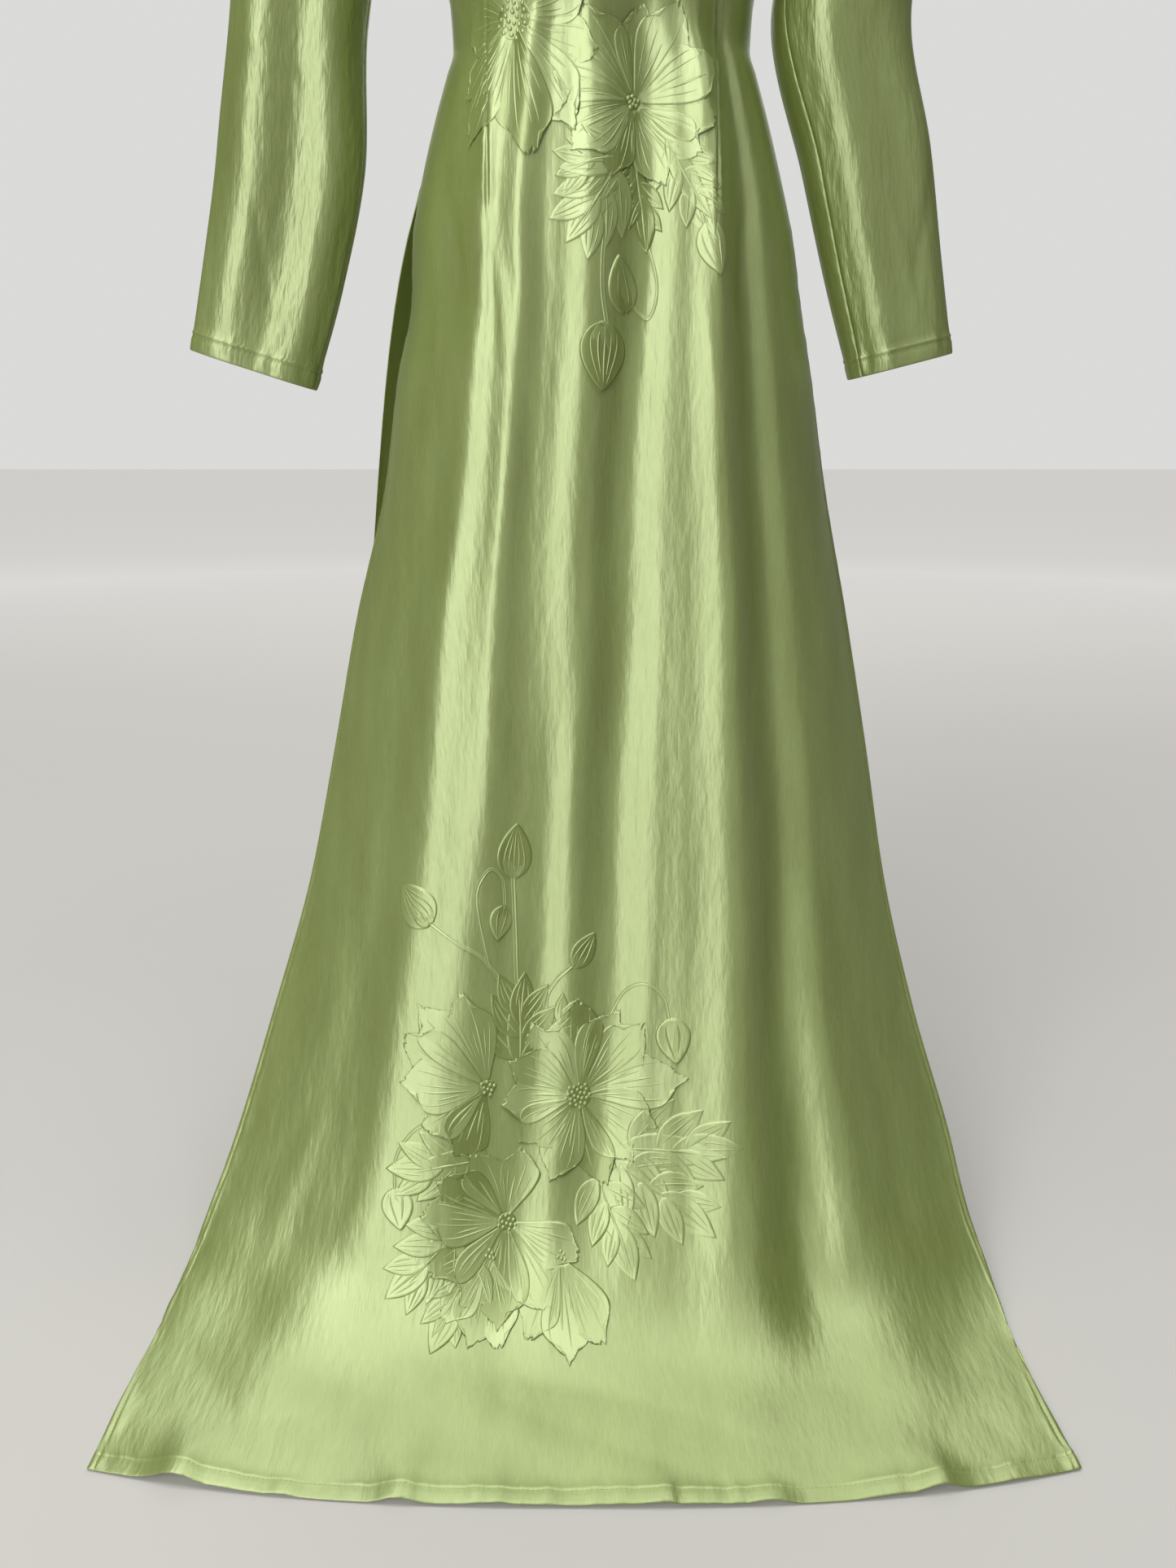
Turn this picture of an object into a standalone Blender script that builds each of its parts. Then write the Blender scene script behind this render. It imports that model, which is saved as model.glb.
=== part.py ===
"""An ao dai tunic in satin, hollow and filled out, with its two floor-length panels.

Run it with: blender --background --python part.py

X runs to the right of someone who faces the tunic, -Y is its front and +Z is up.
The origin is the middle of the neck's base, where the wearer's shoulders hold it.
Tables give heights above the floor that the two long panels reach and lie on.
"""
import math

import bmesh
import bpy
from mathutils import Vector

COLLECTION = "ao_dai_tunic"

# Driving sizes, in metres
NECK_HEIGHT = 1.282      # the origin above the floor
WALL = 0.0012            # thickness of the cloth walls
SEAM_GAP = 0.0003        # between two pieces along a seam
FLOOR_CLEARANCE = 0.0006 # under cloth that lies on the floor
BELLY = 2.6              # how flat a panel is across its middle; 2 is a parabola
BODY_SHARE = 0.25        # the closed body's length on the scale of the flap below it
CREASE_LIMIT = 0.3       # the least cosine between two walls that share a mitre

# Mesh density
RAGLAN_ROWS = 8          # from the neck to the underarm
TORSO_ROWS = 7           # from the underarm to the top of the side slits
FLAP_ROWS = 22           # from the slits to the hem
FRONT_COLUMNS = 32
BACK_COLUMNS = 24
SLEEVE_ROWS = 10         # from the underarm to the cuff
SLEEVE_COLUMNS = 18
COLLAR_FRONT_COLUMNS = 7
COLLAR_SIDE_COLUMNS = 5
COLLAR_BACK_COLUMNS = 6
COLLAR_ROWS = 2

SATIN = {"colour": (0.36, 0.47, 0.14), "roughness": 0.32, "metallic": 0.0}


class Table:
    """Rows of sizes under named columns, read between rows on a smooth curve."""

    def __init__(self, columns, rows):
        self.places = [row[0] for row in rows]
        self.values = {name: [row[i] for row in rows] for i, name in enumerate(columns)}

    def at(self, name, place):
        """The named size at a place along the first column, with no overshoot."""
        xs, ys = self.places, self.values[name]
        last = len(xs) - 1
        place = min(max(place, xs[0]), xs[last])
        i = max(k for k in range(last) if xs[k] <= place)
        steps = [(ys[k + 1] - ys[k]) / (xs[k + 1] - xs[k]) for k in range(last)]

        def slope(k):
            if k in (0, last):
                return steps[0] if k == 0 else steps[-1]
            before, after = steps[k - 1], steps[k]
            return 0.0 if before * after <= 0 else 2 * before * after / (before + after)

        span = xs[i + 1] - xs[i]
        t = (place - xs[i]) / span
        return (ys[i] * (1 + 2 * t) * (1 - t) ** 2 + ys[i + 1] * t * t * (3 - 2 * t)
                + span * (slope(i) * t * (1 - t) ** 2 - slope(i + 1) * t * t * (1 - t)))


# The raglan part, from the neck (0) to the underarm (1). Each row is an arch of the
# sleeve: an ellipse about centre_x, centre_up whose outermost point lies reach_x,
# reach_up away. It is depth deep to the front and back, its front lies drop lower, and
# it is open by open_angle degrees to each side of that point. The front and back
# panels span between the arches' ends through their own middle points.
RAGLAN = Table(
    ("place", "centre_x", "centre_up", "reach_x", "reach_up", "depth", "drop",
     "open_angle", "front_y", "front_up", "back_y", "back_up"),
    (
        (0.00, 0.000, 1.282, 0.060, 0.004, 0.062, 0.012, 32, -0.062, 1.268, 0.060, 1.296),
        (0.14, 0.030, 1.222, 0.058, 0.052, 0.070, 0.008, 50, -0.071, 1.243, 0.070, 1.266),
        (0.34, 0.075, 1.176, 0.048, 0.080, 0.075, 0.003, 71, -0.090, 1.190, 0.086, 1.208),
        (0.56, 0.116, 1.147, 0.052, 0.076, 0.073, 0.000, 95, -0.1080, 1.138, 0.0935, 1.146),
        (0.72, 0.141, 1.131, 0.053, 0.063, 0.068, 0.000, 115, -0.1145, 1.102, 0.0955, 1.106),
        (0.84, 0.1674, 1.121, 0.052, 0.046, 0.061, 0.000, 136, -0.1176, 1.084, 0.0957, 1.086),
        (0.93, 0.1844, 1.103, 0.051, 0.033, 0.055, 0.000, 158, -0.1185, 1.072, 0.0953, 1.073),
        (1.00, 0.1890, 1.088, 0.050, 0.021, 0.049, 0.000, 180, -0.1187, 1.067, 0.0950, 1.067),
    ))

# The closed body between the underarm (0) and the top of the side slits (1)
BODY = Table(
    ("place", "height", "half_width", "front", "back"),
    (
        (0.00, 1.067, 0.1390, -0.1187, 0.0950),
        (0.20, 1.018, 0.1320, -0.1200, 0.0910),
        (0.40, 0.969, 0.1195, -0.1105, 0.0830),
        (0.53, 0.937, 0.1128, -0.1000, 0.0775),
        (0.64, 0.910, 0.1118, -0.0950, 0.0750),
        (0.71, 0.893, 0.1175, -0.0970, 0.0790),
        (0.82, 0.866, 0.1265, -0.1020, 0.0855),
        (1.00, 0.822, 0.1395, -0.1120, 0.0960),
    ))

# The open panels below the slits, from the slit (0) to the hem (1): where the edges
# and the middle line lie, and how far each edge is from the middle
FLAP_COLUMNS = ("place", "edge_up", "edge_y", "left", "right", "middle_up", "middle_y")
FRONT_FLAP = Table(FLAP_COLUMNS, (
    (0.000, 0.822, 0.000, 0.1395, 0.1395, 0.822, -0.112),
    (0.043, 0.779, -0.005, 0.147, 0.150, 0.779, -0.117),
    (0.085, 0.735, -0.010, 0.149, 0.157, 0.735, -0.121),
    (0.137, 0.681, -0.018, 0.161, 0.167, 0.681, -0.126),
    (0.223, 0.593, -0.032, 0.174, 0.181, 0.595, -0.134),
    (0.324, 0.491, -0.052, 0.199, 0.201, 0.495, -0.147),
    (0.427, 0.387, -0.075, 0.219, 0.219, 0.393, -0.165),
    (0.531, 0.283, -0.102, 0.240, 0.235, 0.290, -0.187),
    (0.636, 0.182, -0.138, 0.269, 0.258, 0.190, -0.216),
    (0.738, 0.088, -0.183, 0.297, 0.284, 0.095, -0.253),
    (0.787, 0.048, -0.212, 0.311, 0.291, 0.054, -0.275),
    (0.834, 0.015, -0.247, 0.322, 0.300, 0.022, -0.300),
    (0.870, 0.002, -0.277, 0.327, 0.303, 0.006, -0.326),
    (0.915, 0.000, -0.331, 0.330, 0.301, 0.000, -0.362),
    (1.000, 0.000, -0.418, 0.331, 0.306, 0.000, -0.446),
))
BACK_FLAP = Table(FLAP_COLUMNS, (
    (0.000, 0.822, 0.000, 0.1395, 0.1395, 0.822, 0.096),
    (0.043, 0.779, 0.008, 0.155, 0.146, 0.779, 0.104),
    (0.085, 0.735, 0.016, 0.167, 0.150, 0.735, 0.109),
    (0.137, 0.681, 0.024, 0.178, 0.156, 0.681, 0.112),
    (0.223, 0.593, 0.036, 0.192, 0.168, 0.595, 0.117),
    (0.324, 0.491, 0.050, 0.206, 0.186, 0.495, 0.126),
    (0.427, 0.387, 0.068, 0.219, 0.206, 0.393, 0.140),
    (0.531, 0.283, 0.092, 0.236, 0.228, 0.290, 0.160),
    (0.636, 0.182, 0.124, 0.258, 0.250, 0.190, 0.187),
    (0.738, 0.088, 0.166, 0.280, 0.272, 0.095, 0.222),
    (0.787, 0.048, 0.194, 0.291, 0.283, 0.054, 0.243),
    (0.834, 0.015, 0.226, 0.301, 0.293, 0.022, 0.268),
    (0.870, 0.002, 0.258, 0.306, 0.298, 0.006, 0.294),
    (0.915, 0.000, 0.306, 0.309, 0.301, 0.000, 0.332),
    (1.000, 0.000, 0.392, 0.312, 0.304, 0.000, 0.414),
))

# Long soft folds down a panel, the ridges with a positive depth: where each lies across
# the panel at the slit and at the hem (-1 and 1 are its edges), its half width on that
# scale, its depth in metres, and the places where it starts, is full, fades and ends
FOLD_COLUMNS = ("across_top", "across_low", "half_width", "depth", "starts", "full", "fades", "ends")
FRONT_FOLDS = (
    (0.19, -0.22, 0.48, -0.0095, -0.20, -0.04, 0.72, 0.88),
    (-0.69, -0.70, 0.12, 0.0025, 0.62, 0.76, 0.80, 0.92),
    (-0.60, -0.55, 0.17, 0.0100, -0.20, -0.04, 0.74, 0.90),
    (-0.42, -0.41, 0.14, 0.0084, -0.20, -0.04, 0.76, 0.90),
    (-0.10, -0.23, 0.10, -0.0057, 0.28, 0.58, 0.80, 0.93),
    (-0.04, -0.16, 0.16, 0.0059, -0.20, -0.04, 0.74, 0.86),
    (0.21, -0.16, 0.16, -0.0069, -0.20, -0.04, 0.74, 0.86),
    (0.42, 0.15, 0.10, 0.0018, -0.20, -0.04, 0.68, 0.84),
    (0.57, 0.31, 0.17, 0.0112, -0.20, -0.04, 0.76, 0.92),
    (0.68, 0.50, 0.14, -0.0096, -0.20, -0.04, 0.76, 0.90),
    (0.65, 0.68, 0.17, 0.0064, 0.45, 0.72, 0.78, 0.92),
    (0.90, 0.95, 0.14, -0.0014, 0.50, 0.72, 0.80, 0.92),
)
BACK_FOLDS = (
    (-0.62, -0.56, 0.18, 0.0120, 0.00, 0.35, 0.76, 0.92),
    (-0.40, -0.34, 0.16, -0.0110, 0.04, 0.35, 0.78, 0.90),
    (-0.14, -0.12, 0.17, 0.0130, -0.05, 0.30, 0.78, 0.92),
    (0.10, 0.12, 0.15, -0.0100, 0.02, 0.30, 0.74, 0.88),
    (0.36, 0.34, 0.17, 0.0120, -0.03, 0.30, 0.76, 0.90),
    (0.64, 0.60, 0.16, -0.0090, 0.15, 0.45, 0.74, 0.88),
)

# The sleeves below the underarm (0) to the cuff (1): centre, half width across and half
# depth, the lean of the opening in degrees, and how far round to the front the long
# seam has turned. The wearer's right sleeve is the one at -X.
SLEEVE_TABLE_COLUMNS = ("place", "height", "centre_x", "centre_y", "half_width", "half_depth",
                        "lean", "seam_turn")
SLEEVES = {
    "sleeve_right": (-1, Table(SLEEVE_TABLE_COLUMNS, (
        (0.00, 1.0880, 0.1890, 0.000, 0.0542, 0.0490, 22.8, 0),
        (0.15, 1.0280, 0.2080, -0.002, 0.0530, 0.0450, 15, 0),
        (0.38, 0.9366, 0.2258, -0.004, 0.0510, 0.0370, 10, 4),
        (0.62, 0.8373, 0.2395, -0.004, 0.0570, 0.0270, 10, 8),
        (0.82, 0.7580, 0.2595, -0.002, 0.0555, 0.0210, 14, 10),
        (1.00, 0.6850, 0.2820, 0.000, 0.0518, 0.0185, 17.5, 10),
    ))),
    "sleeve_left": (1, Table(SLEEVE_TABLE_COLUMNS, (
        (0.00, 1.0880, 0.1890, 0.000, 0.0542, 0.0490, 22.8, 0),
        (0.15, 1.0280, 0.1945, -0.002, 0.0520, 0.0450, 10, 12),
        (0.38, 0.9366, 0.1790, -0.004, 0.0520, 0.0400, 3, 30),
        (0.62, 0.8373, 0.2045, -0.004, 0.0495, 0.0330, 11, 38),
        (0.82, 0.7580, 0.2240, -0.002, 0.0460, 0.0290, 13, 38),
        (1.00, 0.6876, 0.2430, 0.000, 0.0418, 0.0270, 14, 36),
    ))),
}
# Long dents (negative) and ridges down the sleeves: the angle from the outer side round
# to the front in degrees, the half angle, the depth, and where they start and end
SLEEVE_FOLDS = {
    "sleeve_right": ((62, 34, 0.0040, 0.10, 1.15), (98, 30, -0.0050, 0.00, 1.10),
                     (130, 26, 0.0030, 0.20, 1.20), (-80, 40, -0.0040, 0.10, 1.10)),
    "sleeve_left": ((70, 34, -0.0030, 0.20, 1.10), (110, 26, 0.0030, 0.10, 1.20),
                    (-95, 38, -0.0040, 0.10, 1.10)),
}

# The stand collar, a band that rises from the neck ring and meets at the front
COLLAR = {"height": 0.036, "inset": 0.0035, "corner": 0.012, "corner_drop": 0.009,
          "parting_low": 0.0012, "parting_high": 0.0040}


def point(x, y, height):
    """A point given by its height above the floor, in the part's own frame."""
    return Vector((x, y, height - NECK_HEIGHT))


def bump(offset, half_width):
    """1 on a fold's line and 0 from half_width away, with soft shoulders."""
    share = abs(offset) / half_width
    return 0.5 * (1 + math.cos(math.pi * share)) if share < 1 else 0.0


def ramp(place, low, high):
    """0 before low, 1 after high and smooth between."""
    share = min(max((place - low) / (high - low), 0.0), 1.0)
    return share * share * (3 - 2 * share)


def spread(count, low=0.0, high=1.0):
    """count + 1 even places from low to high."""
    return [low + (high - low) * i / count for i in range(count + 1)]


def arch_point(side, place, angle):
    """A point of the raglan part's sleeve, angle from its outermost line to the front."""
    centre_x, reach_x = RAGLAN.at("centre_x", place), RAGLAN.at("reach_x", place)
    centre_up, reach_up = RAGLAN.at("centre_up", place), RAGLAN.at("reach_up", place)
    out, forward = math.cos(angle), math.sin(angle)
    return point(side * (centre_x + reach_x * out),
                 -RAGLAN.at("depth", place) * forward,
                 centre_up + reach_up * out - RAGLAN.at("drop", place) * forward)


def raglan_row(place, facing, across):
    """A panel's row between its two raglan seams; facing is -1 in front, 1 at the back."""
    end = arch_point(1, place, -facing * math.radians(RAGLAN.at("open_angle", place)))
    name = "front" if facing < 0 else "back"
    middle = point(0, RAGLAN.at(name + "_y", place), RAGLAN.at(name + "_up", place))
    turn = math.acos(min(max(end.y / middle.y, 0.0), 1.0))
    half_width = end.x / math.sin(turn)
    row = []
    for share in across:
        angle = share * turn
        rise = (1 - math.cos(angle)) / (1 - math.cos(turn))
        row.append(Vector((half_width * math.sin(angle), middle.y * math.cos(angle),
                           middle.z + (end.z - middle.z) * rise)))
    return row


def fold_depth(folds, place, across):
    """How far the folds lift the cloth at a place down and across a panel."""
    depth = 0.0
    for row in folds:
        fold = dict(zip(FOLD_COLUMNS, row))
        line = fold["across_top"] + (fold["across_low"] - fold["across_top"]) * place
        strength = ramp(place, fold["starts"], fold["full"]) * (1 - ramp(place, fold["fades"], fold["ends"]))
        depth += fold["depth"] * strength * bump(across - line, fold["half_width"])
    return depth


def body_row(folds, place, facing, across):
    """Half of the closed body's ring, from side seam to side seam, with its folds."""
    depth = BODY.at("front" if facing < 0 else "back", place)
    width, height = BODY.at("half_width", place), BODY.at("height", place)
    row = []
    for share in across:
        reach = math.sin(share * math.pi / 2)
        lift = fold_depth(folds, (place - 1) * BODY_SHARE, reach)
        row.append(point(width * reach, depth * math.cos(share * math.pi / 2) + facing * lift, height))
    return row


def flap_row(table, folds, place, across):
    """A row of an open panel, from the left edge to the right one, with its folds."""
    step = 0.01
    fall_y = table.at("middle_y", place + step) - table.at("middle_y", place - step)
    fall_up = table.at("middle_up", place + step) - table.at("middle_up", place - step)
    length = math.hypot(fall_y, fall_up)
    facing = math.copysign(1.0, table.at("middle_y", place))
    out_y, out_up = -facing * fall_up / length, facing * fall_y / length
    edge_y, middle_y = table.at("edge_y", place), table.at("middle_y", place)
    edge_up, middle_up = table.at("edge_up", place), table.at("middle_up", place)
    left, right = table.at("left", place), table.at("right", place)
    flat = ramp(place, 0.0, 0.7)
    lowest = WALL + FLOOR_CLEARANCE
    row = []
    for share in across:
        quarter = share * math.pi / 2
        reach = (1 - flat) * math.sin(quarter) + flat * share
        belly = (1 - flat) * math.cos(quarter) + flat * (1 - abs(share) ** BELLY)
        lift = fold_depth(folds, place, reach)
        x = reach * (left if share < 0 else right)
        y = edge_y + (middle_y - edge_y) * belly + out_y * lift
        height = edge_up + (middle_up - edge_up) * belly + out_up * lift
        row.append(point(x, y, max(height, lowest)))
    return row


def panel_rows(facing, columns, flap, folds):
    """All rows of the front (-1) or back (1) panel, from the neck to the hem."""
    across = spread(columns, -1.0)
    rows = [raglan_row(place, facing, across) for place in spread(RAGLAN_ROWS)]
    rows += [body_row(folds, place, facing, across) for place in spread(TORSO_ROWS)[1:]]
    seam_rows = len(rows)
    rows += [flap_row(flap, folds, place, across) for place in spread(FLAP_ROWS)[1:]]
    for row in rows[:seam_rows]:
        part_seam(row)
    return rows


def part_seam(row):
    """Draws a row's two ends in, so that its piece stays clear of the next one."""
    for end, beside in ((0, 1), (-1, -2)):
        row[end] = row[end] + (row[beside] - row[end]).normalized() * (SEAM_GAP / 2)


def sleeve_point(name, place, angle):
    """A point of a sleeve below the underarm, angle from its outer side to the front."""
    side, table = SLEEVES[name]
    lean = math.radians(table.at("lean", place))
    wide, deep = table.at("half_width", place), table.at("half_depth", place)
    turned = math.degrees(angle)
    for line, half_angle, depth, starts, ends in SLEEVE_FOLDS[name]:
        strength = ramp(place, starts, starts + 0.3) * (1 - ramp(place, ends - 0.3, ends))
        lift = depth * strength * bump((turned - line + 180) % 360 - 180, half_angle)
        wide += lift
        deep += lift
    out = wide * math.cos(angle)
    return point(side * (table.at("centre_x", place) + out * math.cos(lean)),
                 table.at("centre_y", place) - deep * math.sin(angle),
                 table.at("height", place) + out * math.sin(lean))


def sleeve_rows(name):
    """All rows of a sleeve, from the neck to the cuff, each from the back seam round."""
    side, table = SLEEVES[name]
    around = spread(SLEEVE_COLUMNS, -1.0)
    rows = []
    for place in spread(RAGLAN_ROWS):
        opening = math.radians(RAGLAN.at("open_angle", place))
        rows.append([arch_point(side, place, share * opening) for share in around])
    for place in spread(SLEEVE_ROWS)[1:]:
        turn = math.radians(table.at("seam_turn", place))
        rows.append([sleeve_point(name, place, share * math.pi - turn) for share in around])
    for row in rows:
        part_seam(row)
    return rows


def neck_ring():
    """The neck's edge, from the middle of the front round by +X and back to it."""
    opening = math.radians(RAGLAN.at("open_angle", 0))
    half_front = raglan_row(0, -1, spread(COLLAR_FRONT_COLUMNS, 0.0, 1.0))
    shoulder = [arch_point(1, 0, share * opening) for share in spread(COLLAR_SIDE_COLUMNS, 1.0, -1.0)]
    half_back = raglan_row(0, 1, spread(COLLAR_BACK_COLUMNS, 1.0, 0.0))
    half = half_front[:-1] + shoulder[:-1] + half_back
    mirrored = [Vector((-place.x, place.y, place.z)) for place in reversed(half[:-1])]
    return half + mirrored


def collar_rows():
    """The collar band's rows, from the neck ring up, with two ends that meet in front."""
    ring = neck_ring()
    lengths = [0.0]
    for before, after in zip(ring, ring[1:]):
        lengths.append(lengths[-1] + (after - before).length)
    rows = []
    for level in spread(COLLAR_ROWS):
        row = []
        for place, length in zip(ring, lengths):
            from_end = min(length, lengths[-1] - length)
            rounding = max(0.0, 1 - from_end / COLLAR["corner"]) ** 2 * COLLAR["corner_drop"]
            shrink = 1 - COLLAR["inset"] * level / RAGLAN.at("reach_x", 0)
            rise = SEAM_GAP + (COLLAR["height"] - rounding) * level
            row.append(Vector((place.x * shrink, place.y * shrink, place.z + rise)))
        parting = COLLAR["parting_low"] + (COLLAR["parting_high"] - COLLAR["parting_low"]) * level
        row[0].x = parting / 2
        row[-1].x = -parting / 2
        rows.append(row)
    return rows


def cloth_material():
    """The satin's colour, roughness and metallic value."""
    material = bpy.data.materials.new("satin")
    material.use_nodes = True
    shader = material.node_tree.nodes["Principled BSDF"]
    shader.inputs["Base Color"].default_value = (*SATIN["colour"], 1.0)
    shader.inputs["Roughness"].default_value = SATIN["roughness"]
    shader.inputs["Metallic"].default_value = SATIN["metallic"]
    return material


def outward(rows, flip):
    """The unit direction out of the cloth at each point of a grid of rows."""
    last_row, last = len(rows) - 1, len(rows[0]) - 1
    result = []
    for i in range(last_row + 1):
        directions = []
        for j in range(last + 1):
            across = rows[i][min(j + 1, last)] - rows[i][max(j - 1, 0)]
            down = rows[min(i + 1, last_row)][j] - rows[max(i - 1, 0)][j]
            normal = across.cross(down) if flip else down.cross(across)
            directions.append(normal.normalized())
        result.append(directions)
    return result


def match_seam(first, first_end, second, second_end, low, high):
    """Gives two pieces one shared direction along a seam, except in the armpit's crease."""
    for i in range(low, high):
        one, other = first[i][first_end], second[i][second_end]
        if one.dot(other) > CREASE_LIMIT:
            shared = (one + other).normalized()
            first[i][first_end] = shared
            second[i][second_end] = shared


def cloth_piece(name, rows, directions, flip, material, collection):
    """A cloth wall between its outer surface, through the rows, and its inner one."""
    shape = bmesh.new()
    outer = [[shape.verts.new(place) for place in row] for row in rows]
    inner = [[shape.verts.new(place - direction * WALL) for place, direction in zip(row, out)]
             for row, out in zip(rows, directions)]
    last = len(rows[0]) - 1

    def face(*corners):
        shape.faces.new(corners[::-1] if flip else corners)

    for i in range(len(rows) - 1):
        for j in range(last):
            face(outer[i][j], outer[i + 1][j], outer[i + 1][j + 1], outer[i][j + 1])
            face(inner[i][j], inner[i][j + 1], inner[i + 1][j + 1], inner[i + 1][j])
        face(outer[i][0], inner[i][0], inner[i + 1][0], outer[i + 1][0])
        face(outer[i][last], outer[i + 1][last], inner[i + 1][last], inner[i][last])
    for j in range(last):
        face(outer[0][j], outer[0][j + 1], inner[0][j + 1], inner[0][j])
        face(outer[-1][j], inner[-1][j], inner[-1][j + 1], outer[-1][j + 1])
    mesh = bpy.data.meshes.new(name)
    shape.to_mesh(mesh)
    shape.free()
    mesh.shade_smooth()
    mesh.set_sharp_from_angle(angle=math.radians(50))
    mesh.materials.append(material)
    piece = bpy.data.objects.new(name, mesh)
    collection.objects.link(piece)


def clear_scene():
    for old in list(bpy.data.objects):
        bpy.data.objects.remove(old, do_unlink=True)


def build():
    clear_scene()
    collection = bpy.data.collections.new(COLLECTION)
    bpy.context.scene.collection.children.link(collection)
    satin = cloth_material()
    pieces = {
        "front": (panel_rows(-1, FRONT_COLUMNS, FRONT_FLAP, FRONT_FOLDS), False),
        "back": (panel_rows(1, BACK_COLUMNS, BACK_FLAP, BACK_FOLDS), True),
        "sleeve_right": (sleeve_rows("sleeve_right"), False),
        "sleeve_left": (sleeve_rows("sleeve_left"), True),
        "collar": (collar_rows(), True),
    }
    directions = {name: outward(rows, flip) for name, (rows, flip) in pieces.items()}
    underarm, slit, cuff = RAGLAN_ROWS, RAGLAN_ROWS + TORSO_ROWS + 1, RAGLAN_ROWS + SLEEVE_ROWS + 1
    for name, end in (("sleeve_right", 0), ("sleeve_left", -1)):
        match_seam(directions["front"], end, directions[name], -1, 0, underarm)
        match_seam(directions["back"], end, directions[name], 0, 0, underarm)
        match_seam(directions["front"], end, directions["back"], end, underarm, slit)
        match_seam(directions[name], 0, directions[name], -1, underarm, cuff)
    for name, (rows, flip) in pieces.items():
        cloth_piece(name, rows, directions[name], flip, satin, collection)


build()
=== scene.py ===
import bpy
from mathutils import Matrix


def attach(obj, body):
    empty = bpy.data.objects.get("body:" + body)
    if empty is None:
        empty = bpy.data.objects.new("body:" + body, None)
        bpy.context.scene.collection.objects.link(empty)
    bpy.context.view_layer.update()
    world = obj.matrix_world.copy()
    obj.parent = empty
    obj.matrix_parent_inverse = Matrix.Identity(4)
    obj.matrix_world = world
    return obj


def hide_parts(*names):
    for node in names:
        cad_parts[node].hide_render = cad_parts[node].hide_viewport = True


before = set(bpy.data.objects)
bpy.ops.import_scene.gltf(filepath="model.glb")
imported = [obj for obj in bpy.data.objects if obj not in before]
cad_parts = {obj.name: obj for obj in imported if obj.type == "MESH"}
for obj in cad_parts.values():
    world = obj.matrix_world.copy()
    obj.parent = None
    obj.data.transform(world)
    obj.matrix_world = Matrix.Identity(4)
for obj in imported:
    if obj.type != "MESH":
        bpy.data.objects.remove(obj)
"""The looks of an ao dai tunic in embossed satin: thin cloth on the form of its solids.

X runs to the right of someone who faces the tunic, -Y is its front and +Z is up, in metres.
The origin is the middle of the neck's base. Tables give heights above the floor.
A place on a piece of cloth is given flat: how far across from its middle line and how far
down, where 0 down is the top of the side slits on a panel and the neck on a sleeve.
"""
import math

import bpy
import numpy as np
from mathutils import Vector

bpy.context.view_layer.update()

# Driving sizes, in metres
NECK_HEIGHT = 1.282      # the origin above the floor
CLOTH = 0.0005           # thickness of the satin
WALL = 0.0012            # thickness of the cloth's solid, whose outer face the satin follows
FLOOR_CLEARANCE = 0.0006
SEAM_GAP = 0.0003
DART_X = 0.081           # from the middle to a waist dart
SIDE_HEM = 0.0055
BOTTOM_HEM = 0.012
CUFF_HEM = 0.014
BELLY = 2.6              # how flat a panel is across its middle; 2 is a parabola
BODY_SHARE = 0.25        # the closed body's length on the scale of the flap below it
FLOOR_CONTACT = 0.86     # the place down a flap where it comes to lie on the floor
FLAT_START = 0.80        # from the slit down the cloth to where a panel lies on the floor
FLOOR_DENT = 0.0016      # how deep the lying cloth's soft dents are
STITCH = {"pitch": 0.0031, "length": 0.0024, "radius": 0.00022}
STITCH_LINE = 0.88       # the share of a hem's width at which its stitches run


class Table:
    """Rows of sizes under named columns, read between rows on a smooth curve."""

    def __init__(self, columns, rows):
        self.places = np.array([row[0] for row in rows])
        self.values = {name: np.array([row[i] for row in rows]) for i, name in enumerate(columns)}

    def at(self, name, place):
        """The named size at places along the first column, with no overshoot."""
        xs, ys = self.places, self.values[name]
        place = np.clip(place, xs[0], xs[-1])
        i = np.clip(np.searchsorted(xs, place, side="right") - 1, 0, len(xs) - 2)
        spans = np.diff(xs)
        steps = np.diff(ys) / spans
        turns = steps[:-1] * steps[1:] <= 0
        sums = np.where(turns, 1.0, steps[:-1] + steps[1:])
        inner = np.where(turns, 0.0, 2 * steps[:-1] * steps[1:] / sums)
        slopes = np.concatenate(([steps[0]], inner, [steps[-1]]))
        t = (place - xs[i]) / spans[i]
        return (ys[i] * (1 + 2 * t) * (1 - t) ** 2 + ys[i + 1] * t * t * (3 - 2 * t)
                + spans[i] * (slopes[i] * t * (1 - t) ** 2 - slopes[i + 1] * t * t * (1 - t)))


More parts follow.
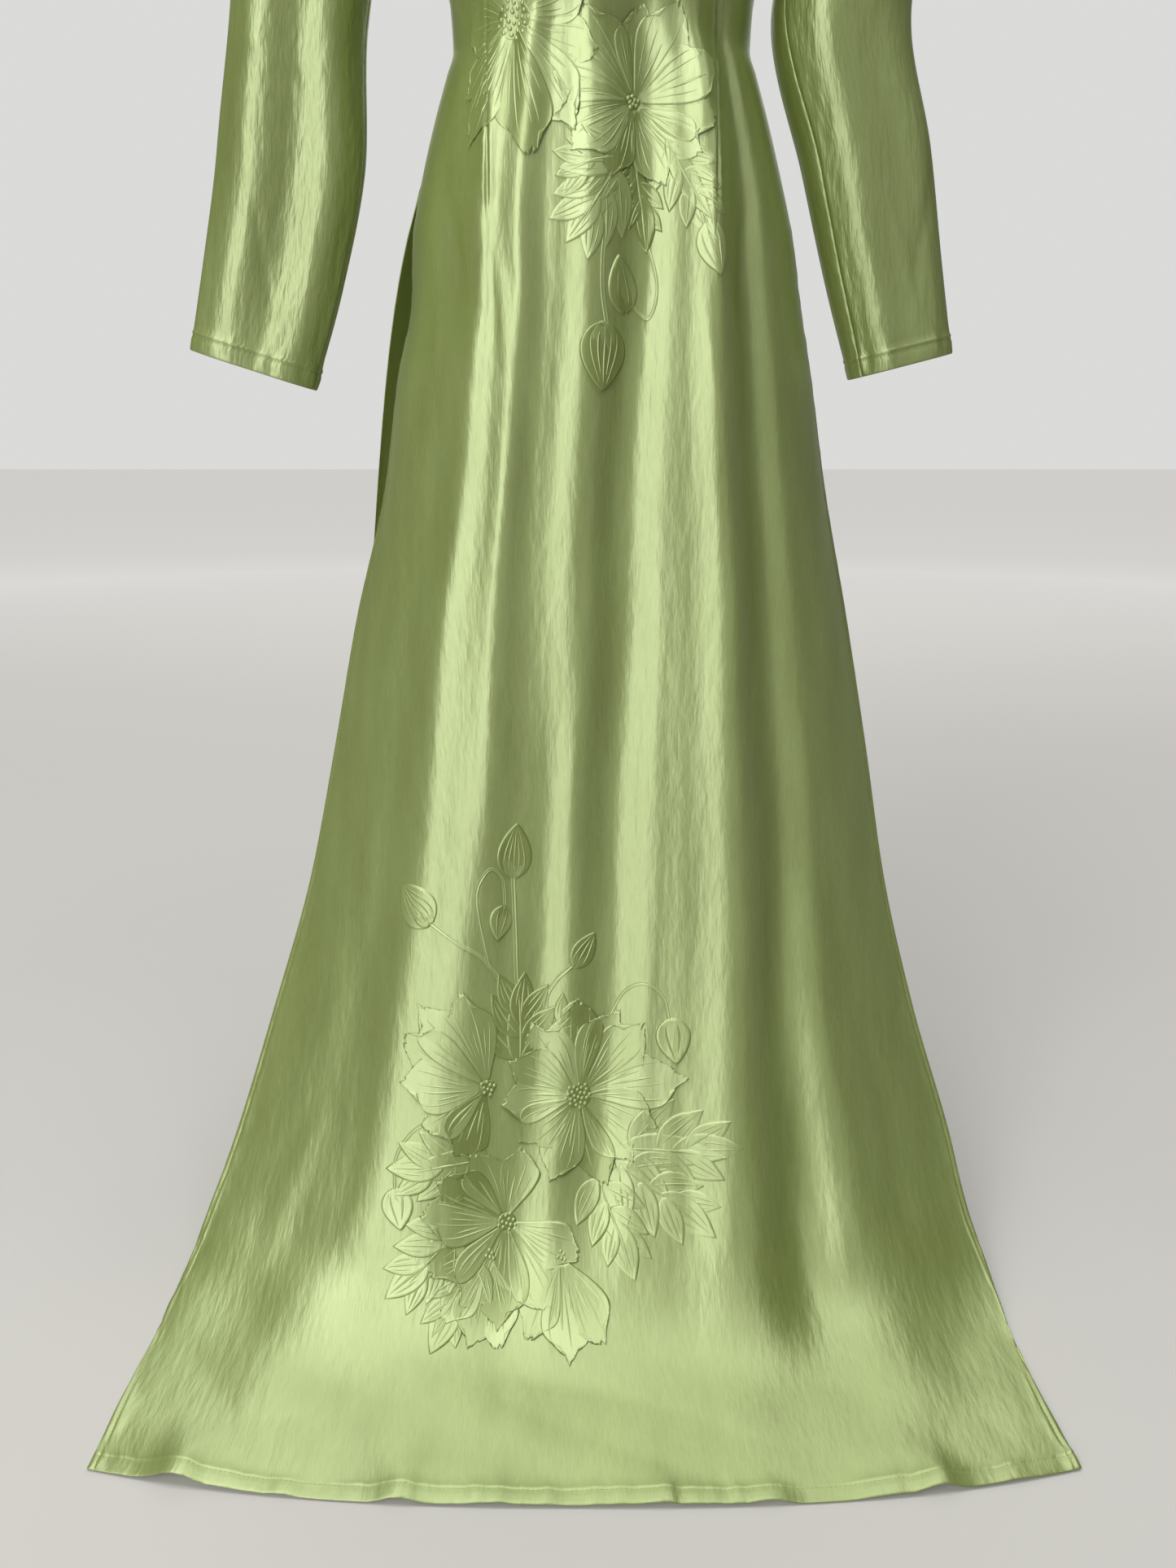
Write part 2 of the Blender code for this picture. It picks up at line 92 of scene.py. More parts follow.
# The raglan part, from the neck (0) to the underarm (1). Each row is an arch of the
# sleeve: an ellipse about centre_x, centre_up whose outermost point lies reach_x,
# reach_up away. It is depth deep to the front and back, its front lies drop lower, and
# it is open by open_angle degrees to each side of that point. The front and back
# panels span between the arches' ends through their own middle points.
RAGLAN = Table(
    ("place", "centre_x", "centre_up", "reach_x", "reach_up", "depth", "drop",
     "open_angle", "front_y", "front_up", "back_y", "back_up"),
    (
        (0.00, 0.000, 1.282, 0.060, 0.004, 0.062, 0.012, 32, -0.062, 1.268, 0.060, 1.296),
        (0.14, 0.030, 1.222, 0.058, 0.052, 0.070, 0.008, 50, -0.071, 1.243, 0.070, 1.266),
        (0.34, 0.075, 1.176, 0.048, 0.080, 0.075, 0.003, 71, -0.090, 1.190, 0.086, 1.208),
        (0.56, 0.116, 1.147, 0.052, 0.076, 0.073, 0.000, 95, -0.1080, 1.138, 0.0935, 1.146),
        (0.72, 0.141, 1.131, 0.053, 0.063, 0.068, 0.000, 115, -0.1145, 1.102, 0.0955, 1.106),
        (0.84, 0.1674, 1.121, 0.052, 0.046, 0.061, 0.000, 136, -0.1176, 1.084, 0.0957, 1.086),
        (0.93, 0.1844, 1.103, 0.051, 0.033, 0.055, 0.000, 158, -0.1185, 1.072, 0.0953, 1.073),
        (1.00, 0.1890, 1.088, 0.050, 0.021, 0.049, 0.000, 180, -0.1187, 1.067, 0.0950, 1.067),
    ))

# The closed body between the underarm (0) and the top of the side slits (1)
BODY = Table(
    ("place", "height", "half_width", "front", "back"),
    (
        (0.00, 1.067, 0.1390, -0.1187, 0.0950),
        (0.20, 1.018, 0.1320, -0.1200, 0.0910),
        (0.40, 0.969, 0.1195, -0.1105, 0.0830),
        (0.53, 0.937, 0.1128, -0.1000, 0.0775),
        (0.64, 0.910, 0.1118, -0.0950, 0.0750),
        (0.71, 0.893, 0.1175, -0.0970, 0.0790),
        (0.82, 0.866, 0.1265, -0.1020, 0.0855),
        (1.00, 0.822, 0.1395, -0.1120, 0.0960),
    ))

# The open panels below the slits, from the slit (0) to the hem (1): where the edges
# and the middle line lie, and how far each edge is from the middle
FLAP_COLUMNS = ("place", "edge_up", "edge_y", "left", "right", "middle_up", "middle_y")
FRONT_FLAP = Table(FLAP_COLUMNS, (
    (0.000, 0.822, 0.000, 0.1395, 0.1395, 0.822, -0.112),
    (0.043, 0.779, -0.005, 0.147, 0.150, 0.779, -0.117),
    (0.085, 0.735, -0.010, 0.149, 0.157, 0.735, -0.121),
    (0.137, 0.681, -0.018, 0.161, 0.167, 0.681, -0.126),
    (0.223, 0.593, -0.032, 0.174, 0.181, 0.595, -0.134),
    (0.324, 0.491, -0.052, 0.199, 0.201, 0.495, -0.147),
    (0.427, 0.387, -0.075, 0.219, 0.219, 0.393, -0.165),
    (0.531, 0.283, -0.102, 0.240, 0.235, 0.290, -0.187),
    (0.636, 0.182, -0.138, 0.269, 0.258, 0.190, -0.216),
    (0.738, 0.088, -0.183, 0.297, 0.284, 0.095, -0.253),
    (0.787, 0.048, -0.212, 0.311, 0.291, 0.054, -0.275),
    (0.834, 0.015, -0.247, 0.322, 0.300, 0.022, -0.300),
    (0.870, 0.002, -0.277, 0.327, 0.303, 0.006, -0.326),
    (0.915, 0.000, -0.331, 0.330, 0.301, 0.000, -0.362),
    (1.000, 0.000, -0.418, 0.331, 0.306, 0.000, -0.446),
))
BACK_FLAP = Table(FLAP_COLUMNS, (
    (0.000, 0.822, 0.000, 0.1395, 0.1395, 0.822, 0.096),
    (0.043, 0.779, 0.008, 0.155, 0.146, 0.779, 0.104),
    (0.085, 0.735, 0.016, 0.167, 0.150, 0.735, 0.109),
    (0.137, 0.681, 0.024, 0.178, 0.156, 0.681, 0.112),
    (0.223, 0.593, 0.036, 0.192, 0.168, 0.595, 0.117),
    (0.324, 0.491, 0.050, 0.206, 0.186, 0.495, 0.126),
    (0.427, 0.387, 0.068, 0.219, 0.206, 0.393, 0.140),
    (0.531, 0.283, 0.092, 0.236, 0.228, 0.290, 0.160),
    (0.636, 0.182, 0.124, 0.258, 0.250, 0.190, 0.187),
    (0.738, 0.088, 0.166, 0.280, 0.272, 0.095, 0.222),
    (0.787, 0.048, 0.194, 0.291, 0.283, 0.054, 0.243),
    (0.834, 0.015, 0.226, 0.301, 0.293, 0.022, 0.268),
    (0.870, 0.002, 0.258, 0.306, 0.298, 0.006, 0.294),
    (0.915, 0.000, 0.306, 0.309, 0.301, 0.000, 0.332),
    (1.000, 0.000, 0.392, 0.312, 0.304, 0.000, 0.414),
))

# Long soft folds down a panel, the ridges with a positive depth: where each lies across
# the panel at the slit and at the hem (-1 and 1 are its edges), its half width on that
# scale, its depth in metres, and the places where it starts, is full, fades and ends
FOLD_COLUMNS = ("across_top", "across_low", "half_width", "depth", "starts", "full", "fades", "ends")
FRONT_FOLDS = (
    (0.19, -0.22, 0.48, -0.0095, -0.20, -0.04, 0.72, 0.88),
    (-0.69, -0.70, 0.12, 0.0025, 0.62, 0.76, 0.80, 0.92),
    (-0.60, -0.55, 0.17, 0.0100, -0.20, -0.04, 0.74, 0.90),
    (-0.42, -0.41, 0.14, 0.0084, -0.20, -0.04, 0.76, 0.90),
    (-0.10, -0.23, 0.10, -0.0057, 0.28, 0.58, 0.80, 0.93),
    (-0.04, -0.16, 0.16, 0.0059, -0.20, -0.04, 0.74, 0.86),
    (0.21, -0.16, 0.16, -0.0069, -0.20, -0.04, 0.74, 0.86),
    (0.42, 0.15, 0.10, 0.0018, -0.20, -0.04, 0.68, 0.84),
    (0.57, 0.31, 0.17, 0.0112, -0.20, -0.04, 0.76, 0.92),
    (0.68, 0.50, 0.14, -0.0096, -0.20, -0.04, 0.76, 0.90),
    (0.65, 0.68, 0.17, 0.0064, 0.45, 0.72, 0.78, 0.92),
    (0.90, 0.95, 0.14, -0.0014, 0.50, 0.72, 0.80, 0.92),
)
BACK_FOLDS = (
    (-0.62, -0.56, 0.18, 0.0120, 0.00, 0.35, 0.76, 0.92),
    (-0.40, -0.34, 0.16, -0.0110, 0.04, 0.35, 0.78, 0.90),
    (-0.14, -0.12, 0.17, 0.0130, -0.05, 0.30, 0.78, 0.92),
    (0.10, 0.12, 0.15, -0.0100, 0.02, 0.30, 0.74, 0.88),
    (0.36, 0.34, 0.17, 0.0120, -0.03, 0.30, 0.76, 0.90),
    (0.64, 0.60, 0.16, -0.0090, 0.15, 0.45, 0.74, 0.88),
)

# The sleeves below the underarm (0) to the cuff (1): centre, half width across and half
# depth, the lean of the opening in degrees, and how far round to the front the long
# seam has turned. The wearer's right sleeve is the one at -X.
SLEEVE_TABLE_COLUMNS = ("place", "height", "centre_x", "centre_y", "half_width", "half_depth",
                        "lean", "seam_turn")
SLEEVES = {
    "sleeve_right": (-1, Table(SLEEVE_TABLE_COLUMNS, (
        (0.00, 1.0880, 0.1890, 0.000, 0.0542, 0.0490, 22.8, 0),
        (0.15, 1.0280, 0.2080, -0.002, 0.0530, 0.0450, 15, 0),
        (0.38, 0.9366, 0.2258, -0.004, 0.0510, 0.0370, 10, 4),
        (0.62, 0.8373, 0.2395, -0.004, 0.0570, 0.0270, 10, 8),
        (0.82, 0.7580, 0.2595, -0.002, 0.0555, 0.0210, 14, 10),
        (1.00, 0.6850, 0.2820, 0.000, 0.0518, 0.0185, 17.5, 10),
    ))),
    "sleeve_left": (1, Table(SLEEVE_TABLE_COLUMNS, (
        (0.00, 1.0880, 0.1890, 0.000, 0.0542, 0.0490, 22.8, 0),
        (0.15, 1.0280, 0.1945, -0.002, 0.0520, 0.0450, 10, 12),
        (0.38, 0.9366, 0.1790, -0.004, 0.0520, 0.0400, 3, 30),
        (0.62, 0.8373, 0.2045, -0.004, 0.0495, 0.0330, 11, 38),
        (0.82, 0.7580, 0.2240, -0.002, 0.0460, 0.0290, 13, 38),
        (1.00, 0.6876, 0.2430, 0.000, 0.0418, 0.0270, 14, 36),
    ))),
}
# Long dents (negative) and ridges down the sleeves: the angle from the outer side round
# to the front in degrees, the half angle, the depth, and where they start and end
SLEEVE_FOLDS = {
    "sleeve_right": ((62, 34, 0.0040, 0.10, 1.15), (98, 30, -0.0050, 0.00, 1.10),
                     (130, 26, 0.0030, 0.20, 1.20), (-80, 40, -0.0040, 0.10, 1.10)),
    "sleeve_left": ((70, 34, -0.0030, 0.20, 1.10), (110, 26, 0.0030, 0.10, 1.20),
                    (-95, 38, -0.0040, 0.10, 1.10)),
}

# The stand collar, a band that rises from the neck ring and meets at the front
COLLAR = {"height": 0.036, "inset": 0.0035, "corner": 0.012, "corner_drop": 0.009,
          "parting_low": 0.0012, "parting_high": 0.0040}

# Small creases: from one flat place to another, the half width and the depth
# of the ridge (positive) or trough, and how far the line bows to its right
CREASE_COLUMNS = ("across", "down", "to_across", "to_down", "half_width", "depth", "bow")
CREASES = {
    "front": (
        (-0.067, 0.120, -0.088, 0.640, 0.024, 0.0018, 0.000),
        (-0.078, 0.050, -0.070, 0.150, 0.007, 0.0012, 0.001),
        (-0.089, 0.045, -0.108, 0.130, 0.007, -0.0010, -0.002),
        (0.080, 0.050, 0.094, 0.170, 0.009, -0.0013, 0.002),
        (0.088, 0.045, 0.112, 0.120, 0.007, 0.0010, 0.002),
        (-0.132, 0.010, -0.105, 0.120, 0.012, -0.0014, 0.004),
        (0.134, 0.004, 0.118, 0.110, 0.010, -0.0012, -0.003),
        (-0.225, 0.700, -0.262, 0.830, 0.016, 0.0016, -0.006),
        (-0.190, 0.640, -0.205, 0.800, 0.014, -0.0012, 0.005),
        (0.060, 0.650, 0.075, 0.800, 0.013, -0.0011, -0.004),
        (0.150, 0.700, 0.170, 0.825, 0.012, 0.0010, 0.004),
        (0.225, 0.640, 0.250, 0.800, 0.016, -0.0014, 0.006),
        (-0.118, -0.235, -0.070, -0.190, 0.010, 0.0013, 0.003),
        (0.116, -0.225, 0.066, -0.195, 0.011, -0.0013, -0.003),
    ),
    "back": (
        (-0.080, 0.050, -0.071, 0.140, 0.008, 0.0012, 0.001),
        (-0.090, 0.048, -0.107, 0.120, 0.007, -0.0010, -0.002),
        (0.079, 0.052, 0.091, 0.155, 0.008, -0.0012, 0.002),
        (0.091, 0.046, 0.114, 0.125, 0.007, 0.0011, 0.002),
        (-0.134, 0.008, -0.108, 0.112, 0.011, -0.0013, 0.004),
        (0.136, 0.004, 0.112, 0.100, 0.012, -0.0014, -0.004),
        (-0.100, -0.150, -0.030, -0.120, 0.012, 0.0015, 0.004),
        (0.096, -0.140, 0.020, -0.105, 0.013, -0.0014, -0.004),
        (-0.205, 0.660, -0.240, 0.800, 0.015, 0.0014, -0.006),
        (0.130, 0.680, 0.150, 0.810, 0.013, -0.0012, 0.004),
        (0.215, 0.650, 0.240, 0.790, 0.016, 0.0015, 0.006),
        (-0.065, 0.690, -0.075, 0.805, 0.012, -0.0011, -0.003),
    ),
    "sleeve_right": (
        (0.052, 0.165, 0.118, 0.228, 0.012, -0.0015, 0.003),
        (0.040, 0.195, 0.122, 0.262, 0.011, 0.0013, -0.002),
        (0.066, 0.330, 0.122, 0.368, 0.009, -0.0012, 0.002),
        (0.048, 0.376, 0.118, 0.400, 0.010, 0.0013, -0.002),
        (0.072, 0.420, 0.124, 0.433, 0.008, -0.0010, 0.001),
        (0.032, 0.455, 0.096, 0.494, 0.011, 0.0011, 0.003),
        (0.052, 0.555, 0.078, 0.645, 0.008, -0.0010, -0.002),
        (0.090, 0.600, 0.074, 0.688, 0.009, 0.0011, 0.002),
        (-0.042, 0.345, -0.112, 0.392, 0.011, -0.0013, 0.002),
        (-0.058, 0.428, -0.122, 0.450, 0.010, 0.0012, -0.002),
        (-0.050, 0.590, -0.084, 0.672, 0.010, -0.0011, 0.002),
        (-0.044, 0.170, -0.116, 0.240, 0.012, 0.0014, -0.003),
    ),
    "sleeve_left": (
        (0.050, 0.172, 0.116, 0.236, 0.012, 0.0014, -0.003),
        (0.038, 0.210, 0.120, 0.266, 0.010, -0.0013, 0.002),
        (0.024, 0.318, 0.098, 0.352, 0.010, 0.0013, 0.002),
        (0.046, 0.360, 0.112, 0.384, 0.009, -0.0012, -0.002),
        (0.020, 0.412, 0.088, 0.446, 0.011, 0.0012, 0.002),
        (0.036, 0.548, 0.066, 0.652, 0.009, -0.0011, 0.003),
        (0.078, 0.570, 0.060, 0.668, 0.009, 0.0010, -0.002),
        (-0.048, 0.336, -0.116, 0.372, 0.011, 0.0013, 0.002),
        (-0.040, 0.402, -0.106, 0.440, 0.010, -0.0012, -0.002),
        (-0.056, 0.580, -0.080, 0.664, 0.010, 0.0011, 0.002),
        (-0.046, 0.180, -0.112, 0.246, 0.012, -0.0014, 0.003),
    ),
}


# Shape functions, on whole grids of places at once

def points(x, y, height):
    """Points given by their height above the floor, in the part's own frame."""
    return np.stack(np.broadcast_arrays(x, y, height - NECK_HEIGHT), axis=-1)


def bump(offset, half_width):
    """1 on a fold's line and 0 from half_width away, with soft shoulders."""
    share = np.minimum(np.abs(offset) / half_width, 1.0)
    return 0.5 * (1 + np.cos(np.pi * share))


def ramp(place, low, high):
    """0 before low, 1 after high and smooth between."""
    share = np.clip((place - low) / (high - low), 0.0, 1.0)
    return share * share * (3 - 2 * share)


def arch(side, place, angle):
    """Points of the raglan part's sleeve, angle from its outermost line to the front."""
    out, forward = np.cos(angle), np.sin(angle)
    return points(side * (RAGLAN.at("centre_x", place) + RAGLAN.at("reach_x", place) * out),
                  -RAGLAN.at("depth", place) * forward,
                  RAGLAN.at("centre_up", place) + RAGLAN.at("reach_up", place) * out
                  - RAGLAN.at("drop", place) * forward)


def raglan_rows(place, facing, across):
    """A panel's rows between its two raglan seams; facing is -1 in front, 1 at the back."""
    end = arch(1, place, -facing * np.radians(RAGLAN.at("open_angle", place)))
    name = "front" if facing < 0 else "back"
    middle_y = RAGLAN.at(name + "_y", place)
    middle_z = RAGLAN.at(name + "_up", place) - NECK_HEIGHT
    turn = np.arccos(np.clip(end[..., 1] / middle_y, 0.0, 1.0))
    half_width = end[..., 0] / np.sin(turn)
    angle = across * turn
    rise = (1 - np.cos(angle)) / (1 - np.cos(turn))
    return np.stack((half_width * np.sin(angle), middle_y * np.cos(angle),
                     middle_z + (end[..., 2] - middle_z) * rise), axis=-1)


def fold_depth(folds, place, across):
    """How far the folds lift the cloth at places down and across a panel."""
    depth = np.zeros(np.broadcast(place, across).shape)
    for row in folds:
        fold = dict(zip(FOLD_COLUMNS, row))
        line = fold["across_top"] + (fold["across_low"] - fold["across_top"]) * place
        strength = ramp(place, fold["starts"], fold["full"]) * (1 - ramp(place, fold["fades"], fold["ends"]))
        depth += fold["depth"] * strength * bump(across - line, fold["half_width"])
    return depth


def body_rows(folds, place, facing, across):
    """Half rings of the closed body, from side seam to side seam, with their folds."""
    depth = BODY.at("front" if facing < 0 else "back", place)
    reach = np.sin(across * math.pi / 2)
    lift = fold_depth(folds, (place - 1) * BODY_SHARE, reach)
    return points(BODY.at("half_width", place) * reach,
                  depth * np.cos(across * math.pi / 2) + facing * lift, BODY.at("height", place))


def flap_rows(table, folds, place, across):
    """Rows of an open panel, from the left edge to the right one, with its folds."""
    step = 0.01
    fall_y = table.at("middle_y", place + step) - table.at("middle_y", place - step)
    fall_up = table.at("middle_up", place + step) - table.at("middle_up", place - step)
    length = np.hypot(fall_y, fall_up)
    facing = np.sign(table.at("middle_y", place))
    flat = ramp(place, 0.0, 0.7)
    quarter = across * math.pi / 2
    reach = (1 - flat) * np.sin(quarter) + flat * across
    belly = (1 - flat) * np.cos(quarter) + flat * (1 - np.abs(across) ** BELLY)
    lift = fold_depth(folds, place, reach)
    edge_y, edge_up = table.at("edge_y", place), table.at("edge_up", place)
    x = reach * np.where(across < 0, table.at("left", place), table.at("right", place))
    y = edge_y + (table.at("middle_y", place) - edge_y) * belly - facing * fall_up / length * lift
    height = edge_up + (table.at("middle_up", place) - edge_up) * belly + facing * fall_y / length * lift
    return points(x, y, np.maximum(height, WALL + FLOOR_CLEARANCE))


def panel_points(facing, flap, folds, level, across):
    """Points of a panel; level is 0 to 1 in the raglan part, to 2 in the body, to 3 below."""
    level, across = np.broadcast_arrays(level, across)
    upper = raglan_rows(np.clip(level, 0.0, 1.0), facing, across)
    middle = body_rows(folds, np.clip(level - 1, 0.0, 1.0), facing, across)
    lower = flap_rows(flap, folds, np.clip(level - 2, 0.0, 1.0), across)
    return np.where((level <= 1)[..., None], upper, np.where((level <= 2)[..., None], middle, lower))


def sleeve_points(name, level, share):
    """Points of a sleeve; level is 0 to 1 in the raglan part and to 2 below the underarm."""
    side, table = SLEEVES[name]
    level, share = np.broadcast_arrays(level, share)
    high, place = np.clip(level, 0.0, 1.0), np.clip(level - 1, 0.0, 1.0)
    upper = arch(side, high, share * np.radians(RAGLAN.at("open_angle", high)))
    angle = share * math.pi - np.radians(table.at("seam_turn", place))
    lean = np.radians(table.at("lean", place))
    wide, deep = table.at("half_width", place), table.at("half_depth", place)
    for line, half_angle, depth, starts, ends in SLEEVE_FOLDS[name]:
        strength = ramp(place, starts, starts + 0.3) * (1 - ramp(place, ends - 0.3, ends))
        lift = depth * strength * bump((np.degrees(angle) - line + 180) % 360 - 180, half_angle)
        wide, deep = wide + lift, deep + lift
    out = wide * np.cos(angle)
    lower = points(side * (table.at("centre_x", place) + out * np.cos(lean)),
                   table.at("centre_y", place) - deep * np.sin(angle),
                   table.at("height", place) + out * np.sin(lean))
    return np.where((level <= 1)[..., None], upper, lower)


def lengths_along(grid, axis):
    """Arc lengths from the first point along an axis of a grid."""
    steps = np.linalg.norm(np.diff(grid, axis=axis), axis=-1)
    first = np.zeros_like(np.take(steps, [0], axis=axis))
    return np.concatenate((first, np.cumsum(steps, axis=axis)), axis=axis)


def normals(grid, flip):
    """The unit direction out of the cloth at each point of a grid."""
    across = np.gradient(grid, axis=1)
    down = np.gradient(grid, axis=0)
    out = np.cross(across, down) if flip else np.cross(down, across)
    return out / np.maximum(np.linalg.norm(out, axis=-1, keepdims=True), 1e-12)


def even(low, high, count):
    """count places from low to high, without high."""
    return low + (high - low) * np.arange(count) / count


class Cloth:
    """A piece of cloth: a grid of points, its outward directions and its flat places."""

    def __init__(self, shape, levels, columns, flip, zero_level):
        """shape gives points for levels and shares across; levels run down the middle line.
        columns gives each row's places across in metres from the row's own half lengths."""
        self.flip = flip
        coarse = np.linspace(-1, 1, 161)
        table = shape(levels[:, None], coarse[None, :])
        arcs = lengths_along(table, 1)
        arcs -= arcs[:, 80:81]
        rows = []
        for i in range(len(levels)):
            wanted = columns(table[i], arcs[i])
            rows.append(np.interp(wanted, arcs[i], coarse))
        self.grid = shape(levels[:, None], np.array(rows))
        self.measure(np.interp(zero_level, levels, np.arange(len(levels))))

    def measure(self, zero_row=None):
        """Takes the outward directions and flat places from the grid."""
        if zero_row is not None:
            self.zero_row = zero_row
        middle = self.grid.shape[1] // 2
        self.out = normals(self.grid, self.flip)
        self.across = lengths_along(self.grid, 1)
        self.across -= self.across[:, middle:middle + 1]
        down = lengths_along(self.grid, 0)[:, middle]
        self.down = down - np.interp(self.zero_row, np.arange(len(down)), down)

    def flat(self):
        """The flat places of the whole grid, as the UV map has them."""
        return np.stack((self.across, np.broadcast_to(-self.down[:, None], self.across.shape)), axis=-1)

    def lift(self, height):
        """Moves every point out of the cloth by its own height."""
        self.grid = self.grid + self.out * np.asarray(height)[..., None]

    def settle(self):
        """Keeps every point above the floor."""
        lowest = WALL + FLOOR_CLEARANCE - NECK_HEIGHT
        self.grid[..., 2] = np.maximum(self.grid[..., 2], lowest)

    def place(self, across, down, height=0.0):
        """Points and outward directions at flat places, height out of the cloth."""
        across, down, height = np.broadcast_arrays(across, down, height)
        row = np.interp(down, self.down, np.arange(len(self.down)))
        low = np.minimum(row.astype(int), len(self.down) - 2)
        part = (row - low)[..., None]
        spot_low, out_low = self.in_row(across, low)
        spot_high, out_high = self.in_row(across, low + 1)
        out = out_low * (1 - part) + out_high * part
        out = out / np.linalg.norm(out, axis=-1, keepdims=True)
        return spot_low * (1 - part) + spot_high * part + out * height[..., None], out

    def in_row(self, across, row):
        """Points and directions at places across within one row each."""
        apart = 10.0
        keys = (self.across + apart * np.arange(len(self.down))[:, None]).ravel()
        columns = self.across.shape[1]
        found = np.searchsorted(keys, across + apart * row, side="right") - 1
        found = np.clip(found, row * columns, row * columns + columns - 2)
        start, end = keys[found], keys[found + 1]
        part = np.clip((across + apart * row - start) / (end - start), 0.0, 1.0)[..., None]
        grid, out = self.grid.reshape(-1, 3), self.out.reshape(-1, 3)
        return (grid[found] * (1 - part) + grid[found + 1] * part,
                out[found] * (1 - part) + out[found + 1] * part)


def crease_depth(cloth, creases):
    """The height that the listed creases give every point of a cloth."""
    across, down = cloth.across, np.broadcast_to(cloth.down[:, None], cloth.across.shape)
    height = np.zeros_like(across)
    for row in creases:
        crease = dict(zip(CREASE_COLUMNS, row))
        start = np.array((crease["across"], crease["down"]))
        along = np.array((crease["to_across"], crease["to_down"])) - start
        length = np.linalg.norm(along)
        along = along / length
        run = ((across - start[0]) * along[0] + (down - start[1]) * along[1]) / length
        side = (across - start[0]) * along[1] - (down - start[1]) * along[0]
        inside = np.clip(run, 0.0, 1.0)
        bowed = side - crease["bow"] * np.sin(np.pi * inside)
        taper = np.sin(np.pi * inside) ** 0.8
        width = crease["half_width"] * (0.55 + 0.45 * np.sin(np.pi * inside))
        height += crease["depth"] * taper * bump(bowed, width)
    return height


# Materials

def new_material(name):
    """A material with only its shader, and its node tree."""
    material = bpy.data.materials.new(name)
    material.use_nodes = True
    return material, material.node_tree


def add_node(tree, kind, **values):
    """A node with its sockets or properties set by name."""
    node = tree.nodes.new(kind)
    for name, value in values.items():
        if hasattr(node, name):
            setattr(node, name, value)
        else:
            node.inputs[name.replace("_", " ")].default_value = value
    return node


def stretched_noise(tree, uv, across, down, detail, seed):
    """Noise whose spots are 1 / across metres wide and 1 / down metres long."""
    mapping = add_node(tree, "ShaderNodeMapping")
    mapping.inputs["Location"].default_value = (seed, seed * 0.7, 0.0)
    mapping.inputs["Scale"].default_value = (across, down, 1.0)
    noise = add_node(tree, "ShaderNodeTexNoise", Scale=1.0, Detail=detail, Roughness=0.55)
    tree.links.new(uv.outputs["UV"], mapping.inputs["Vector"])
    tree.links.new(mapping.outputs["Vector"], noise.inputs["Vector"])
    return noise.outputs["Fac"]


def remap(tree, value, low, high, to_low, to_high):
    """A value moved from one range to another, clamped."""
    node = add_node(tree, "ShaderNodeMapRange")
    for name, number in (("From Min", low), ("From Max", high), ("To Min", to_low), ("To Max", to_high)):
        node.inputs[name].default_value = number
    tree.links.new(value, node.inputs["Value"])
    return node.outputs["Result"]


def satin(name, deep, light, roughness, metallic, anisotropy, gloss, crinkle):
    """Satin with fine upright crinkles, soft blotches and a stretched gloss."""
    material, tree = new_material(name)
    shader = tree.nodes["Principled BSDF"]
    uv = add_node(tree, "ShaderNodeUVMap", uv_map="cloth")
    blotches = stretched_noise(tree, uv, 38.0, 9.0, 3.0, 3.1)
    streaks = stretched_noise(tree, uv, 900.0, 90.0, 2.0, 7.7)
    ripples = stretched_noise(tree, uv, 150.0, 45.0, 2.0, 12.9)

    mix = add_node(tree, "ShaderNodeMix", data_type="RGBA")
    mix.inputs["A"].default_value = (*deep, 1.0)
    mix.inputs["B"].default_value = (*light, 1.0)
    shade = add_node(tree, "ShaderNodeMath", operation="ADD", use_clamp=True)
    tree.links.new(remap(tree, blotches, 0.3, 0.7, 0.05, 0.65), shade.inputs[0])
    tree.links.new(remap(tree, streaks, 0.35, 0.65, 0.0, 0.35), shade.inputs[1])
    tree.links.new(shade.outputs["Value"], mix.inputs["Factor"])
    tree.links.new(mix.outputs["Result"], shader.inputs["Base Color"])

    tree.links.new(remap(tree, blotches, 0.3, 0.7, roughness - 0.03, roughness + 0.05),
                   shader.inputs["Roughness"])
    shader.inputs["Metallic"].default_value = metallic
    shader.inputs["IOR"].default_value = gloss
    shader.inputs["Anisotropic"].default_value = anisotropy
    shader.inputs["Anisotropic Rotation"].default_value = 0.25
    shader.inputs["Specular Tint"].default_value = (0.95, 0.99, 0.96, 1.0)
    tangent = add_node(tree, "ShaderNodeTangent", direction_type="UV_MAP", uv_map="cloth")
    tree.links.new(tangent.outputs["Tangent"], shader.inputs["Tangent"])

    dents = add_node(tree, "ShaderNodeBump", Strength=1.0, Distance=0.0011 * crinkle)
    wide = add_node(tree, "ShaderNodeBump", Strength=1.0, Distance=0.00085 * crinkle)
    fine = add_node(tree, "ShaderNodeBump", Strength=1.0, Distance=0.00016 * crinkle)
    tree.links.new(blotches, dents.inputs["Height"])
    tree.links.new(dents.outputs["Normal"], wide.inputs["Normal"])
    tree.links.new(ripples, wide.inputs["Height"])
    tree.links.new(streaks, fine.inputs["Height"])
    tree.links.new(wide.outputs["Normal"], fine.inputs["Normal"])
    tree.links.new(fine.outputs["Normal"], shader.inputs["Normal"])
    return material


SATIN_GREENS = (0.180, 0.226, 0.044), (0.248, 0.308, 0.086)
SATIN = satin("satin", *SATIN_GREENS, 0.51, 0.45, 0.78, 2.55, 0.50)
SLEEVE_SATIN = satin("sleeve_satin", *SATIN_GREENS, 0.52, 0.45, 0.78, 2.55, 1.0)
# Painted light: the reverse is a lighter green than the face, standing in for light on the cloth's shaded
# inner side; its low gloss is the matte reverse of satin.
REVERSE_PAINTED_LIGHT = satin("satin_reverse_painted_light", (0.38, 0.46, 0.13), (0.44, 0.53, 0.17), 0.60, 0.10, 0.0, 1.45, 0.6)
# The thread's darker green is partly its own colour and partly painted shade, standing in for the shadow in
# the dents along the stitches.
THREAD_WITH_PAINTED_SHADE = satin("thread_painted_shade", (0.15, 0.19, 0.05), (0.20, 0.25, 0.07), 0.60, 0.05, 0.0, 1.45, 0.3)
